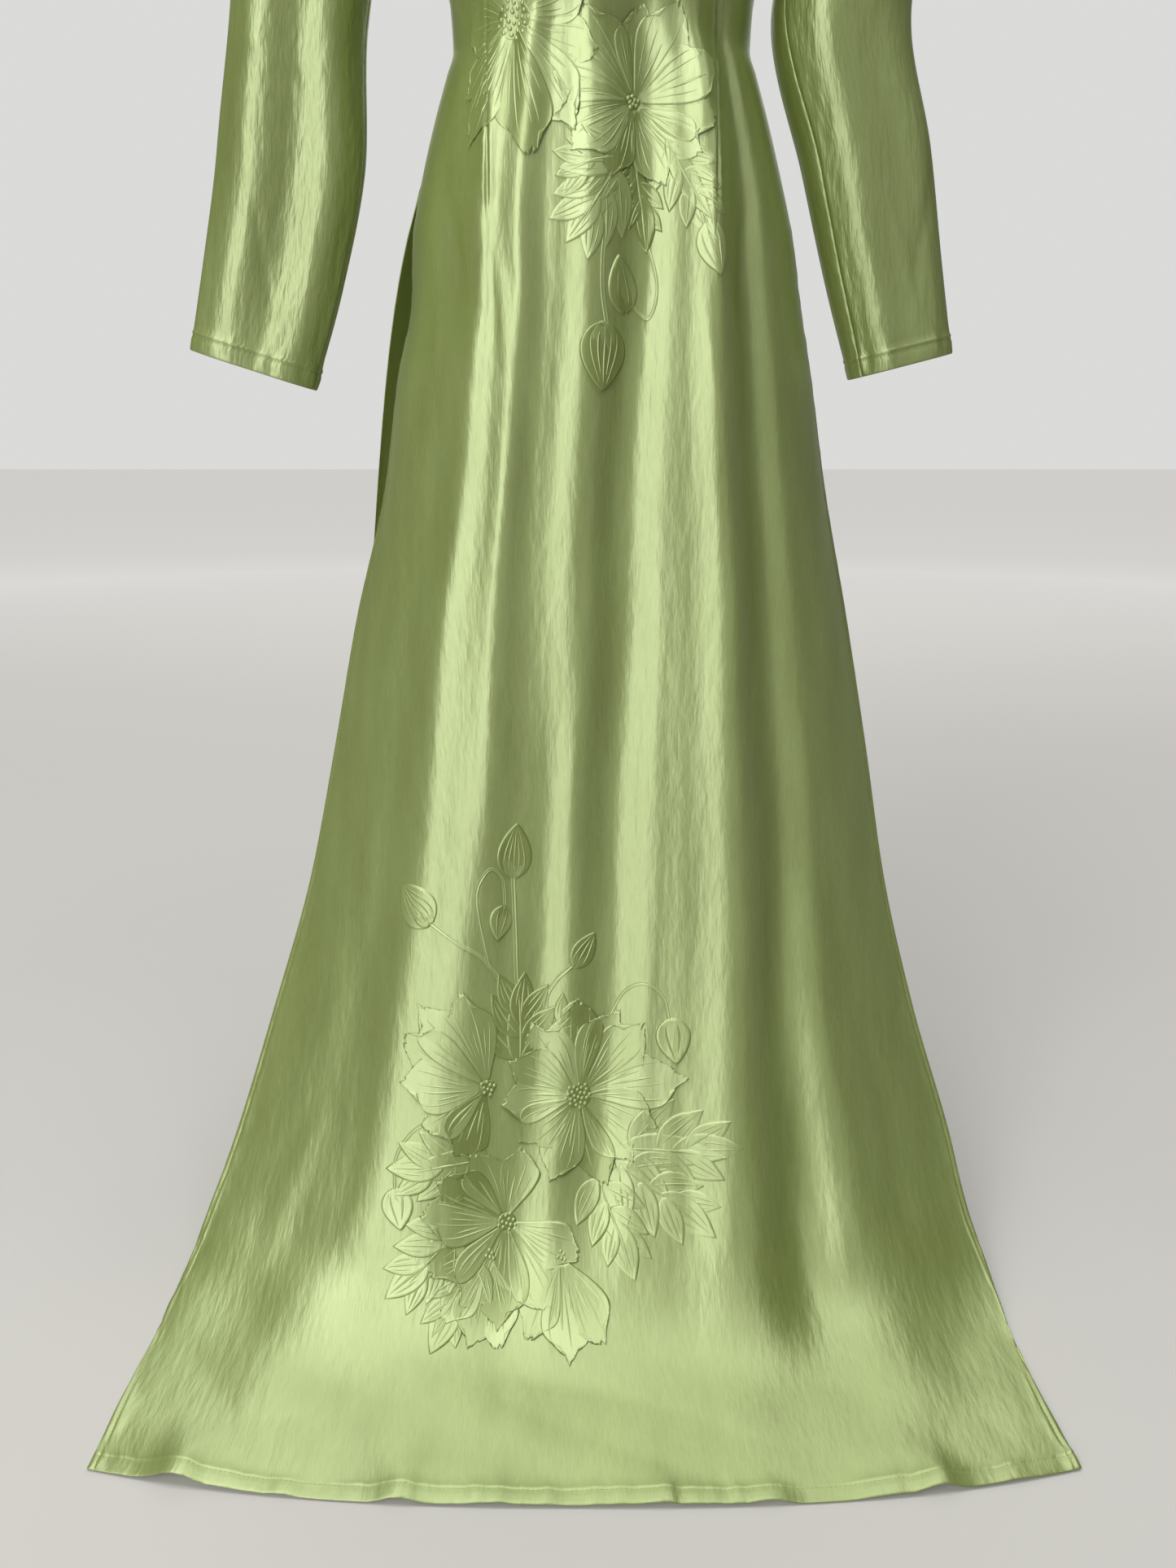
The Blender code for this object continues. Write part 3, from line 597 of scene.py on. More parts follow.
# The embossed weave: as the ground, paler and darker. They differ in gloss as a weave does, and their lighter
# and darker greens are partly painted light and painted shade.
EVEN = satin("emboss_even", (0.192, 0.240, 0.050), (0.25, 0.312, 0.088), 0.48, 0.45, 0.7, 2.5, 0.4)
PALE_PAINTED_LIGHT = satin("emboss_pale_painted_light", (0.228, 0.282, 0.076), (0.285, 0.35, 0.112), 0.49, 0.42, 0.45, 2.5, 0.35)
DARK_PAINTED_SHADE = satin("emboss_dark_painted_shade", (0.150, 0.190, 0.034), (0.198, 0.248, 0.056), 0.46, 0.45, 0.6, 2.2, 0.35)
EMBOSS = (EVEN, PALE_PAINTED_LIGHT, DARK_PAINTED_SHADE)


# Meshes

def mesh_object(name, spots, faces, flat, materials, shades=None):
    """A smooth mesh with the UV map cloth, in flat metres, and a material for each face."""
    mesh = bpy.data.meshes.new(name)
    mesh.from_pydata(spots.tolist(), [], faces.tolist())
    if shades is not None:
        mesh.polygons.foreach_set("material_index", shades.astype(np.int32))
    layer = mesh.uv_layers.new(name="cloth")
    corners = np.empty(len(mesh.loops), dtype=np.int32)
    mesh.loops.foreach_get("vertex_index", corners)
    layer.data.foreach_set("uv", flat[corners].astype(np.float32).ravel())
    mesh.shade_smooth()
    for material in materials:
        mesh.materials.append(material)
    piece = bpy.data.objects.new(name, mesh)
    bpy.context.scene.collection.objects.link(piece)
    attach(piece, "root")
    return piece


def grid_faces(rows, columns, flip, first=0):
    """The four-cornered faces of a grid, facing out."""
    index = first + np.arange(rows * columns).reshape(rows, columns)
    faces = np.stack((index[:-1, :-1], index[1:, :-1], index[1:, 1:], index[:-1, 1:]), axis=-1).reshape(-1, 4)
    return faces[:, ::-1] if flip else faces


def cloth_object(name, grid, flat, flip, thickness, materials):
    """A thin shell through a grid, its reverse in the last material."""
    rows, columns = grid.shape[:2]
    piece = mesh_object(name, grid.reshape(-1, 3), grid_faces(rows, columns, flip),
                        flat.reshape(-1, 2), materials)
    solid = piece.modifiers.new("thickness", "SOLIDIFY")
    solid.thickness = thickness
    solid.offset = -1
    solid.material_offset = len(materials) - 1
    return piece


# The pieces of cloth

EDGE_STEPS = np.array((0.0, 0.0005, 0.0012, 0.0024, 0.0040, 0.0048, 0.0056, 0.0064, 0.0085))
DART_STEPS = np.array((0.0010, 0.0020, 0.0032, 0.0050, 0.0080))


def panel_columns(row, arcs):
    """Places across a panel's row: close together at its edges and at its two darts."""
    halves = []
    for side in (-1, 1):
        half_length = abs(arcs[0] if side < 0 else arcs[-1])
        order = slice(None, None, -1) if side < 0 else slice(None)
        dart = np.interp(DART_X, side * row[order, 0], side * arcs[order])
        dart = min(dart, 0.55 * half_length)
        squeeze = min(1.0, half_length / 0.12)
        near = DART_STEPS * squeeze
        edge = half_length - EDGE_STEPS[::-1] * squeeze
        halves.append(np.concatenate((
            even(0.0, dart - near[-1], 20),
            dart - near[::-1], [dart], dart + near,
            even(dart + near[-1], edge[0], 32)[1:],
            edge)))
    return np.concatenate((-halves[0][::-1], halves[1][1:]))


def sleeve_columns(row, arcs):
    """Places round a sleeve's row, close together at its seam."""
    halves = []
    for half_length in (-arcs[0], arcs[-1]):
        edge = half_length - EDGE_STEPS[4::-1] * min(1.0, half_length / 0.06)
        halves.append(np.concatenate((even(0.0, edge[0], 42), edge)))
    return np.concatenate((-halves[0][::-1], halves[1][1:]))


def row_levels(shape, top, last_level, spacing, hem):
    """Levels down the middle line: evenly spaced in metres, and closer in the hem."""
    levels = np.linspace(0, last_level, 1201)
    line = shape(levels[:, None], np.zeros((1, 1)))
    arc = lengths_along(line, 0)[:, 0]
    hem_steps = np.array((0.0, 0.0006, 0.0014, 0.0030, 0.0055, 0.0080, 0.0104, 0.0113, 0.0120, 0.0127,
                          0.0140)) * hem / 0.012
    end = arc[-1] - hem_steps[::-1]
    wanted = np.concatenate((top, even(top[-1], end[0], int((end[0] - top[-1]) / spacing))[1:], end))
    return np.interp(wanted, arc, levels)


def soften(grid, row, reach, passes):
    """Smooths a grid down its rows near one row, leaving the ends of the rows alone."""
    weight = np.clip(1 - np.abs(np.arange(len(grid)) - row) / reach, 0.0, 1.0)[1:-1, None, None]
    for _ in range(passes):
        mean = (grid[:-2] + grid[2:]) / 2
        grid[1:-1, 1:-1] += (weight * (mean - grid[1:-1]) * 0.5)[:, 1:-1]


def edge_distance(cloth):
    """How far each point is from the nearer end of its row."""
    return np.minimum(cloth.across - cloth.across[:, :1], cloth.across[:, -1:] - cloth.across)


def seam_roll(distance):
    """The cloth turning in towards a seam's stitches."""
    return -0.0009 * np.clip(1 - distance / 0.0022, 0.0, 1.0) ** 2


def hem_profile(distance, width):
    """The turned edge, the double layer and the dip along its stitches."""
    return (-0.0007 * np.clip(1 - distance / 0.0013, 0.0, 1.0) ** 2
            + 0.0008 * (1 - ramp(distance, width, width + 0.0025))
            - 0.0007 * bump(distance - width * STITCH_LINE, 0.0018))


def waves(length, cycles, seed):
    """An uneven wave along a length, between about -1 and 1."""
    rng = np.random.default_rng(seed)
    total = np.zeros_like(length)
    for cycle in cycles:
        turns = 2 * np.pi * (length / cycle + rng.random())
        total += np.sin(turns + 1.3 * np.sin(length * 9 + rng.random() * 6))
    return total / len(cycles)


def waver(level, across):
    """Shares across a panel, moved a little so that no fold runs straight."""
    sway = 0.010 * np.sin(9.0 * level + 2.5 * across) + 0.006 * np.sin(23.0 * level + 5.0 * across + 1.0)
    return across + sway * (1 - across ** 2) * ramp(level, 1.2, 1.8)


def make_panel(name, facing, flap, folds, flip):
    """The front or back panel, from the neck to its hem on the floor."""
    def shape(level, across):
        level, across = np.broadcast_arrays(level, across)
        straight = panel_points(facing, flap, (), level, across)
        return straight + panel_points(facing, flap, folds, level, waver(level, across)) \
            - panel_points(facing, flap, (), level, waver(level, across))

    levels = row_levels(shape, np.array((0.0, 0.0006, 0.0016)), 3.0, 0.0047, BOTTOM_HEM)
    cloth = Cloth(shape, levels, panel_columns, flip, 2.0)
    for level, reach, passes in ((1.0, 8, 30), (2.0, 8, 30), (2.0 + FLOOR_CONTACT, 26, 60)):
        soften(cloth.grid, np.interp(level, levels, np.arange(len(levels))), reach, passes)
    cloth.measure()

    down = np.broadcast_to(cloth.down[:, None], cloth.across.shape)
    distance = edge_distance(cloth)
    sewn = 1 - ramp(down, -0.006, 0.004)
    from_hem = cloth.down[-1] - down
    height = crease_depth(cloth, CREASES[name])
    height += sewn * seam_roll(distance) + (1 - sewn) * hem_profile(distance, SIDE_HEM)
    height += hem_profile(from_hem, BOTTOM_HEM)
    height += seam_roll(down - cloth.down[0])

    height += dart_profile(cloth)
    pucker = 0.5 + 0.5 * waves(cloth.across, (0.015, 0.024, 0.041), 5)
    height += 0.0021 * pucker * (1 - ramp(np.abs(from_hem - BOTTOM_HEM * 0.7), 0.002, 0.014))
    ruck = np.clip(waves(cloth.across, (0.061, 0.083, 0.127), 8 + facing), 0.0, 1.0)
    height += 0.0060 * ruck ** 1.5 * (1 - ramp(from_hem, 0.0, 0.045))
    lying = ramp(down, FLAT_START - 0.06, FLAT_START + 0.05)
    height += FLOOR_DENT * lying * (waves(cloth.across + 0.4 * down, (0.105, 0.170), 31)
                                    + waves(down - 0.5 * cloth.across, (0.085, 0.140), 32))
    side_pucker = waves(down, (0.017, 0.029), 9 + facing)
    height += (1 - sewn) * 0.0003 * side_pucker * (1 - ramp(np.abs(distance - SIDE_HEM), 0.001, 0.006))
    cloth.lift(height)
    cloth.settle()
    cloth.measure()
    return cloth


def dart_profile(cloth):
    """The two waist darts: a narrow valley between soft lips, with small puckers."""
    height = cloth.grid[:, cloth.grid.shape[1] // 2, 2] + NECK_HEIGHT
    strength = ramp(height, 0.780, 0.800) * (1 - ramp(height, 1.000, 1.030))
    result = np.zeros_like(cloth.across)
    for side in (-1, 1):
        line = []
        for i in range(len(height)):
            order = slice(None, None, -1) if side < 0 else slice(None)
            line.append(side * np.interp(DART_X, side * cloth.grid[i, order, 0],
                                         side * cloth.across[i, order]))
        offset = cloth.across - np.array(line)[:, None]
        puckers = waves(cloth.down, (0.011, 0.017), 3 + side)[:, None]
        lips = 0.0007 * bump(np.abs(offset) - 0.0030, 0.0030) * (1 + 0.5 * puckers)
        result += strength[:, None] * (lips - 0.0010 * bump(offset, 0.0020))
        result += strength[:, None] * 0.0004 * puckers * bump(np.abs(offset) - 0.007, 0.006)
    return result


def make_sleeve(name, flip):
    """A raglan sleeve, from the neck to its cuff."""
    def shape(level, share):
        return sleeve_points(name, level, share)

    levels = row_levels(shape, np.array((0.0, 0.0006, 0.0016)), 2.0, 0.0042, CUFF_HEM)
    cloth = Cloth(shape, levels, sleeve_columns, flip, 0.0)
    soften(cloth.grid, np.interp(1.0, levels, np.arange(len(levels))), 8, 20)
    cloth.measure()
    down = np.broadcast_to(cloth.down[:, None], cloth.across.shape)
    from_hem = cloth.down[-1] - down
    height = crease_depth(cloth, CREASES[name])
    height += seam_roll(edge_distance(cloth)) + hem_profile(from_hem, CUFF_HEM)
    height += seam_roll(down - cloth.down[0])
    pucker = waves(cloth.across, (0.013, 0.021, 0.034), 21)
    height += 0.0010 * pucker * (1 - ramp(np.abs(from_hem - CUFF_HEM * 0.8), 0.002, 0.014))
    cloth.lift(height)
    cloth.measure()
    return cloth


def collar_grid():
    """The collar band's grid, from the neck ring up, with two ends that meet in front."""
    opening = math.radians(float(RAGLAN.at("open_angle", 0.0)))
    front = raglan_rows(np.zeros(28), -1, np.linspace(0, 1, 28))
    shoulder = arch(1, np.zeros(22), np.linspace(1, -1, 22) * opening)
    back = raglan_rows(np.zeros(24), 1, np.linspace(1, 0, 24))
    half = np.concatenate((front[:-1], shoulder[:-1], back))
    ring = np.concatenate((half, half[-2::-1] * (-1, 1, 1)))
    length = lengths_along(ring, 0)
    from_end = np.minimum(length, length[-1] - length)
    rounding = np.clip(1 - from_end / COLLAR["corner"], 0.0, 1.0) ** 2 * COLLAR["corner_drop"]
    rows = []
    for level in (0.0, 0.02, 0.06, 0.2, 0.35, 0.5, 0.65, 0.8, 0.92, 0.97, 1.0):
        row = ring * (1, 1, 1)
        row[:, :2] *= 1 - COLLAR["inset"] * level / float(RAGLAN.at("reach_x", 0.0))
        row[:, 2] += SEAM_GAP + (COLLAR["height"] - rounding) * level
        parting = COLLAR["parting_low"] + (COLLAR["parting_high"] - COLLAR["parting_low"]) * level
        row[0, 0], row[-1, 0] = parting / 2, -parting / 2
        rows.append(row)
    return np.array(rows), length


def make_collar():
    """The stand collar, two layers of satin with a turned edge."""
    grid, length = collar_grid()
    middle = len(length) // 2
    flat = np.stack(np.broadcast_arrays((length - length[middle])[None, :],
                                        np.linspace(0, COLLAR["height"], len(grid))[:, None]), axis=-1)

    level = np.linspace(0, COLLAR["height"], len(grid))[:, None]
    from_edge = np.minimum(level, COLLAR["height"] - level) + 0 * length[None, :]
    grid = grid + normals(grid, True) * seam_roll(from_edge)[..., None]
    return cloth_object("collar_satin", grid, flat, True, WALL, (SATIN,))


# The embossed flowers: smooth pressed patches with fine raised veins. Headings are in
# degrees, 0 down the cloth, 90 to the viewer's right and 180 up.

PETAL_SHOULDER = 0.68    # the share of a petal's length where it is widest
LINE_WIDTH = 0.0022
STEM_WIDTH = 0.0038
STEM_HEIGHT = 0.0006
# Shares of a stem's half width and height: a line along each edge of a flatter band
STEM_PROFILE = ((-1.0, -0.3), (-0.85, 0.7), (-0.65, 1.0), (-0.4, 0.55), (0.0, 0.4), (0.4, 0.55),
                (0.65, 1.0), (0.85, 0.7), (1.0, -0.3))
SUNK = -0.0002           # the edge of a patch, just under the cloth's surface
PRESS = 0.00036          # how far a patch stands out


class Relief:
    """Low relief on a piece of cloth, gathered into one mesh."""

    def __init__(self, cloth):
        self.cloth = cloth
        self.spots, self.flat, self.faces, self.shades = [], [], [], []
        self.count = self.layer = 0

    def add(self, across, down, height, shade=0):
        """A grid of flat places with their heights out of the cloth."""
        rows, columns = across.shape
        spots, _ = self.cloth.place(across, down, height)
        self.spots.append(spots.reshape(-1, 3))
        self.flat.append(np.stack((across, -down), axis=-1).reshape(-1, 2))
        self.faces.append(grid_faces(rows, columns, self.cloth.flip, self.count))
        self.shades.append(np.full(len(self.faces[-1]), shade))
        self.count += rows * columns

    def make(self, name, materials):
        """The finished mesh."""
        return mesh_object(name, np.concatenate(self.spots), np.concatenate(self.faces),
                           np.concatenate(self.flat), materials, np.concatenate(self.shades))


class Patch:
    """One petal, leaf or bud: places by their share along it and across it."""

    def __init__(self, relief, at, heading, length, width, outline, bend=0.0, tilt=0.0, lift=0.0, shade=0):
        self.relief, self.at, self.length, self.width = relief, at, length, width
        self.outline, self.bend, self.tilt, self.lift, self.shade = outline, bend, tilt, lift, shade
        turn = math.radians(heading)
        self.along = (math.sin(turn), math.cos(turn))
        self.side = (math.cos(turn), -math.sin(turn))
        relief.layer += 1
        self.level = PRESS + 0.00005 * (relief.layer % 7)

    def flat(self, along, across):
        """Flat places of shares along and across the patch."""
        half, reach = self.outline(along, across)
        run = self.length * along * reach
        off = across * half * self.width / 2 + self.bend * self.length * along ** 2
        return (self.at[0] + self.along[0] * run + self.side[0] * off,
                self.at[1] + self.along[1] * run + self.side[1] * off)

    def height(self, along, across):
        """How far the patch stands out at shares along and across it."""
        half = self.outline(along, across)[0] * self.width / 2
        edge = np.minimum((1 - np.abs(across)) * np.maximum(half, 0.0012), (1 - along) * self.length)
        edge = np.minimum(edge, along * self.length * 0.6 + 0.0002)
        inside = ramp(edge, 0.0, 0.0014)
        rim = 0.00012 * bump(edge - 0.0017, 0.0012)
        return (SUNK + (self.level - SUNK) * inside + rim
                + inside * (self.tilt * across + self.lift * along ** 2) * self.width)

    def press(self, steps_along, steps_across):
        """Adds the patch itself."""
        along, across = np.meshgrid(steps_along, steps_across, indexing="ij")
        self.relief.add(*self.flat(along, across), self.height(along, across), self.shade)

    def vein(self, start, end, across_start, across_end, width=LINE_WIDTH, height=0.00042,
             points=11, shade=1):
        """A raised line on the patch, pointed at both ends."""
        share = np.linspace(0, 1, points)[:, None]
        profile = np.array((-1.0, -0.6, 0.0, 0.6, 1.0))[None, :]
        along = start + (end - start) * share + 0 * profile
        middle = across_start + (across_end - across_start) * share
        half = np.maximum(self.outline(along, 0 * along)[0] * self.width / 2, 0.002)
        taper = np.sin(np.pi * np.clip(share, 0.03, 0.97)) ** 0.5
        across = middle + profile * width / 2 * taper / half
        ridge = np.sqrt(np.clip(1 - profile ** 2, 0, 1)) * height * taper - 0.00012 * np.abs(profile)
        self.relief.add(*self.flat(along, across), self.height(along, middle + 0 * profile) + ridge, shade)


EDGE_SHARES = np.array((-1.0, -0.965, -0.93, -0.88, -0.75, -0.5, -0.25, 0.0,
                        0.25, 0.5, 0.75, 0.88, 0.93, 0.965, 1.0))
FRILL_SHARES = np.concatenate((EDGE_SHARES[:4], np.linspace(-0.8, 0.8, 19), EDGE_SHARES[-4:]))
PETAL_SHARES = np.concatenate((np.linspace(0.0, 0.06, 4), np.linspace(0.1, 0.9, 17),
                               (0.93, 0.955, 0.975, 0.988, 0.996, 1.0)))


def petal_outline(frill, seed):
    """A petal that widens from a narrow foot to a broad, frilled end."""
    def outline(along, across):
        foot = 0.16 + 0.84 * np.sin(np.pi / 2 * np.clip(along / PETAL_SHOULDER, 0, 1)) ** 1.1
        past = np.clip((along - PETAL_SHOULDER) / (1 - PETAL_SHOULDER), 0, 1)
        wave = 1 + 0.5 * frill * np.sin(along * 13 + seed + np.sign(across) * 1.7) * along
        frills = np.sin(across * 6.5 + seed) + 0.7 * np.sin(across * 13 + 2 * seed)
        reach = 1 - 0.22 * across ** 2 * along ** 2 + frill * frills * along ** 5
        return foot * np.sqrt(1 - 0.94 * past ** 2.3) * wave, reach
    return outline


def petal(relief, at, heading, length, width, shade=0, strokes=5, bend=0.0, tilt=0.0, foot=0.0):
    """A frilled petal with long and short strokes that fan out from its foot."""
    turn = math.radians(heading)
    at = (at[0] + foot * math.sin(turn), at[1] + foot * math.cos(turn))
    seed = heading * 0.37 + length * 100
    patch = Patch(relief, at, heading, length, width, petal_outline(0.030, seed), bend, tilt, 0.016, shade)
    patch.press(PETAL_SHARES, FRILL_SHARES)
    for k in range(strokes):
        place = (k + 0.5) / strokes * 2 - 1
        reach = 0.70 + 0.16 * math.sin(seed + k * 2.3)
        stroke = 0.0017 + 0.0006 * math.sin(seed * 3 + k * 1.9)
        patch.vein(0.12 + 0.14 * (k % 2), reach, place * 0.60, place * 0.82, stroke, 0.00034,
                   shade=0 if shade == 1 else 1)


def lobe_outline(along, across):
    """A lobe of a leaf, pointed at both ends."""
    return np.sin(np.pi * np.clip(along, 0, 1) ** 0.8) ** 0.85, 1 + 0 * across


def leaf(relief, at, heading, length, width, pairs=3, shade=1, bend=0.0):
    """A deeply lobed leaf: pairs of pointed lobes that lean towards its tip."""
    turn = math.radians(heading)
    line = 0 if shade == 1 else 1
    middle = Patch(relief, at, heading, 0.80 * length, 0.42 * width, lobe_outline, bend, shade=shade)
    middle.press(PETAL_SHARES, EDGE_SHARES)
    lobes = [(0.50, 0.0, 0.52 * length)]
    for k in range(pairs):
        share = 0.10 + 0.48 * k / max(pairs - 1, 1)
        for side in (-1, 1):
            lobes.append((share + 0.04 * side, side * (54 - 30 * share),
                          0.80 * width * (1.05 - 0.35 * share)))
    for share, lean, reach in lobes:
        run = share * 0.80 * length
        aside = bend * 0.80 * length * share ** 2
        start = (at[0] + run * math.sin(turn) + aside * math.cos(turn),
                 at[1] + run * math.cos(turn) - aside * math.sin(turn))
        curl = -0.10 * np.sign(lean)
        lobe = Patch(relief, start, heading + lean, reach, 0.50 * reach, lobe_outline, curl, 0.02,
                     shade=shade)
        lobe.press(PETAL_SHARES, EDGE_SHARES)
        lobe.vein(0.12, 0.86, 0.05, 0.0, 0.0019, shade=line)
        lobe.vein(0.30, 0.74, -0.45, -0.40, 0.0015, 0.0003, shade=line)
        lobe.vein(0.38, 0.80, 0.45, 0.40, 0.0015, 0.0003, shade=line)
    middle.vein(0.05, 0.95, 0.0, 0.0, 0.0022, 0.00045, 21, shade=line)


def bud_outline(along, across):
    """A drop, round at its foot and pointed at its tip."""
    return np.sin(np.pi * np.clip(along, 0, 1) ** 0.75) ** 0.75, 1 + 0 * across


def bud(relief, at, heading, length, width, lines=4, shade=1):
    """A closed bud with the edges of its petals showing."""
    patch = Patch(relief, at, heading, length, width, bud_outline, 0.0, 0.0, 0.04, shade)
    patch.press(PETAL_SHARES, EDGE_SHARES)
    for side in (-1, 1):
        sepal = Patch(relief, at, heading + 30 * side, 0.50 * length, 0.36 * width, lobe_outline,
                      -0.25 * side, shade=2 - shade)
        sepal.press(PETAL_SHARES, EDGE_SHARES)
    for k in range(lines):
        place = (k + 0.5) / lines * 2 - 1
        patch.vein(0.16, 0.88 - 0.12 * (k % 2), place * 0.80, place * 0.45, 0.0017, 0.0005, shade=2 - shade)


def smooth_route(route, points):
    """Evenly spaced places on a smooth curve through a few."""
    route = np.array(route, dtype=float)
    spots = np.concatenate((2 * route[:1] - route[1:2], route, 2 * route[-1:] - route[-2:-1]))
    t = np.linspace(0, len(route) - 1 - 1e-9, points)
    i = t.astype(int)
    f = (t - i)[:, None]
    a, b, c, d = spots[i], spots[i + 1], spots[i + 2], spots[i + 3]
    return 0.5 * (2 * b + (c - a) * f + (2 * a - 5 * b + 4 * c - d) * f ** 2
                  + (3 * b - a - 3 * c + d) * f ** 3)


def stem(relief, *route, width=STEM_WIDTH):
    """A stem along a smooth route of flat places: a pressed band with a line along each edge."""
    line = smooth_route(route, 8 * len(route))
    along = np.gradient(line, axis=0)
    along /= np.linalg.norm(along, axis=1, keepdims=True)
    off = np.array([share for share, _ in STEM_PROFILE])[None, :] * width / 2
    rise = np.array([share for _, share in STEM_PROFILE])[None, :] * STEM_HEIGHT + 0 * line[:, :1]
    relief.add(line[:, :1] + along[:, 1:] * off, line[:, 1:] - along[:, :1] * off, rise, 1)


def dots(relief, at, reach, count, size=0.0014):
    """A flower's stamens, small domes spread like seeds."""
    for k in range(count):
        turn, out = k * 2.39996, reach * math.sqrt((k + 0.5) / count)
        middle = (at[0] + out * math.sin(turn), at[1] + out * math.cos(turn))
        angle, step = np.meshgrid(np.linspace(0, -2 * np.pi, 9), np.array((0.02, 0.6, 1.0, 1.25)),
                                  indexing="ij")
        rise = 0.0010 * np.sqrt(np.clip(1 - (step / 1.25) ** 2, 0, 1)) + PRESS * 1.2 * (step < 1.2)
        relief.add(middle[0] + size * step * np.sin(angle), middle[1] + size * step * np.cos(angle), rise, 1)


def flower(relief, at, petals, stamens, reach=0.012):
    """An open flower: petals of (heading, length, width, shade) about a middle of dots."""
    for k, (heading, length, width, shade) in enumerate(petals):
        petal(relief, at, heading, length, width, shade, strokes=5 + k % 3, tilt=0.014 * (-1) ** k,
              bend=0.07 * (-1) ** (k // 2), foot=0.005)
    patch = Patch(relief, (at[0], at[1] - reach), 0, 2 * reach, 2.2 * reach, bud_round, shade=2)
    patch.press(PETAL_SHARES, EDGE_SHARES)
    dots(relief, at, reach, stamens)


def bud_round(along, across):
    """A round middle."""
    return np.sqrt(np.clip(1 - (2 * along - 1) ** 2, 0, 1)), 1 + 0 * across


def lower_spray(relief):
    """The large spray low on the front: three flowers, lobed leaves and buds on stems."""
    stem(relief, (-0.058, 0.640), (-0.066, 0.600), (-0.068, 0.560), (-0.070, 0.512))
    stem(relief, (-0.075, 0.600), (-0.092, 0.578), (-0.112, 0.566), (-0.134, 0.552))
    stem(relief, (-0.040, 0.632), (-0.044, 0.610), (-0.036, 0.594), (-0.024, 0.582))
    stem(relief, (-0.088, 0.585), (-0.096, 0.550), (-0.098, 0.525), (-0.088, 0.508), (-0.078, 0.516),
         (-0.076, 0.536), width=0.0028)
    stem(relief, (0.006, 0.622), (0.018, 0.603), (0.034, 0.596), (0.048, 0.606), (0.053, 0.624), width=0.0028)
    stem(relief, (-0.128, 0.700), (-0.146, 0.712), (-0.158, 0.732), (-0.158, 0.756), width=0.0028)
    for at, heading, length, width, lines, shade in (
            ((-0.070, 0.516), 176, 0.044, 0.028, 5, 2), ((-0.134, 0.554), 222, 0.040, 0.034, 5, 0),
            ((-0.022, 0.584), 148, 0.032, 0.020, 3, 2), ((-0.077, 0.536), 350, 0.028, 0.019, 2, 0),
            ((0.054, 0.622), 8, 0.036, 0.028, 2, 0), ((-0.158, 0.754), 12, 0.032, 0.026, 2, 1)):
        bud(relief, at, heading, length, width, lines, shade)
    for at, heading, length, width, pairs, bend, shade in (
            ((-0.064, 0.664), 176, 0.084, 0.056, 3, 0.10, 2),
            ((-0.050, 0.654), 146, 0.062, 0.040, 2, -0.08, 0),
            ((-0.084, 0.730), 276, 0.090, 0.056, 3, 0.10, 0), ((0.010, 0.722), 92, 0.108, 0.064, 3, -0.10, 1),
            ((0.010, 0.730), 52, 0.104, 0.058, 3, 0.10, 1), ((-0.004, 0.740), 20, 0.090, 0.048, 3, 0.06, 0),
            ((-0.104, 0.780), 312, 0.086, 0.052, 3, 0.12, 1),
            ((-0.094, 0.794), 340, 0.090, 0.046, 3, -0.08, 0)):
        leaf(relief, at, heading, length, width, pairs, shade, bend)
    flower(relief, (-0.088, 0.676), (
        (300, 0.054, 0.040, 0), (332, 0.052, 0.040, 2), (272, 0.062, 0.046, 1), (246, 0.070, 0.046, 0),
        (218, 0.076, 0.044, 1), (194, 0.070, 0.040, 0)), 9, 0.006)
    flower(relief, (-0.072, 0.776), (
        (205, 0.052, 0.040, 0), (236, 0.056, 0.042, 2), (270, 0.060, 0.044, 0), (172, 0.050, 0.038, 0),
        (300, 0.064, 0.044, 2), (330, 0.064, 0.042, 0), (0, 0.070, 0.044, 2), (32, 0.066, 0.042, 0),
        (62, 0.056, 0.038, 1)), 12, 0.007)
    for at, petals in (
            ((-0.084, 0.800), ((322, 0.052, 0.034, 1), (346, 0.060, 0.036, 0), (12, 0.060, 0.034, 1))),
            ((-0.030, 0.800), ((334, 0.058, 0.034, 0), (2, 0.070, 0.038, 1), (30, 0.064, 0.036, 0)))):
        flower(relief, at, petals, 5, 0.004)
    flower(relief, (-0.018, 0.682), (
        (14, 0.066, 0.034, 2), (38, 0.060, 0.036, 0), (346, 0.062, 0.036, 0), (312, 0.052, 0.040, 0),
        (272, 0.054, 0.040, 1), (240, 0.054, 0.042, 0), (74, 0.060, 0.040, 0), (104, 0.080, 0.044, 1),
        (132, 0.070, 0.044, 0), (212, 0.060, 0.042, 1), (158, 0.066, 0.044, 1),
        (184, 0.068, 0.044, 2)), 24, 0.010)


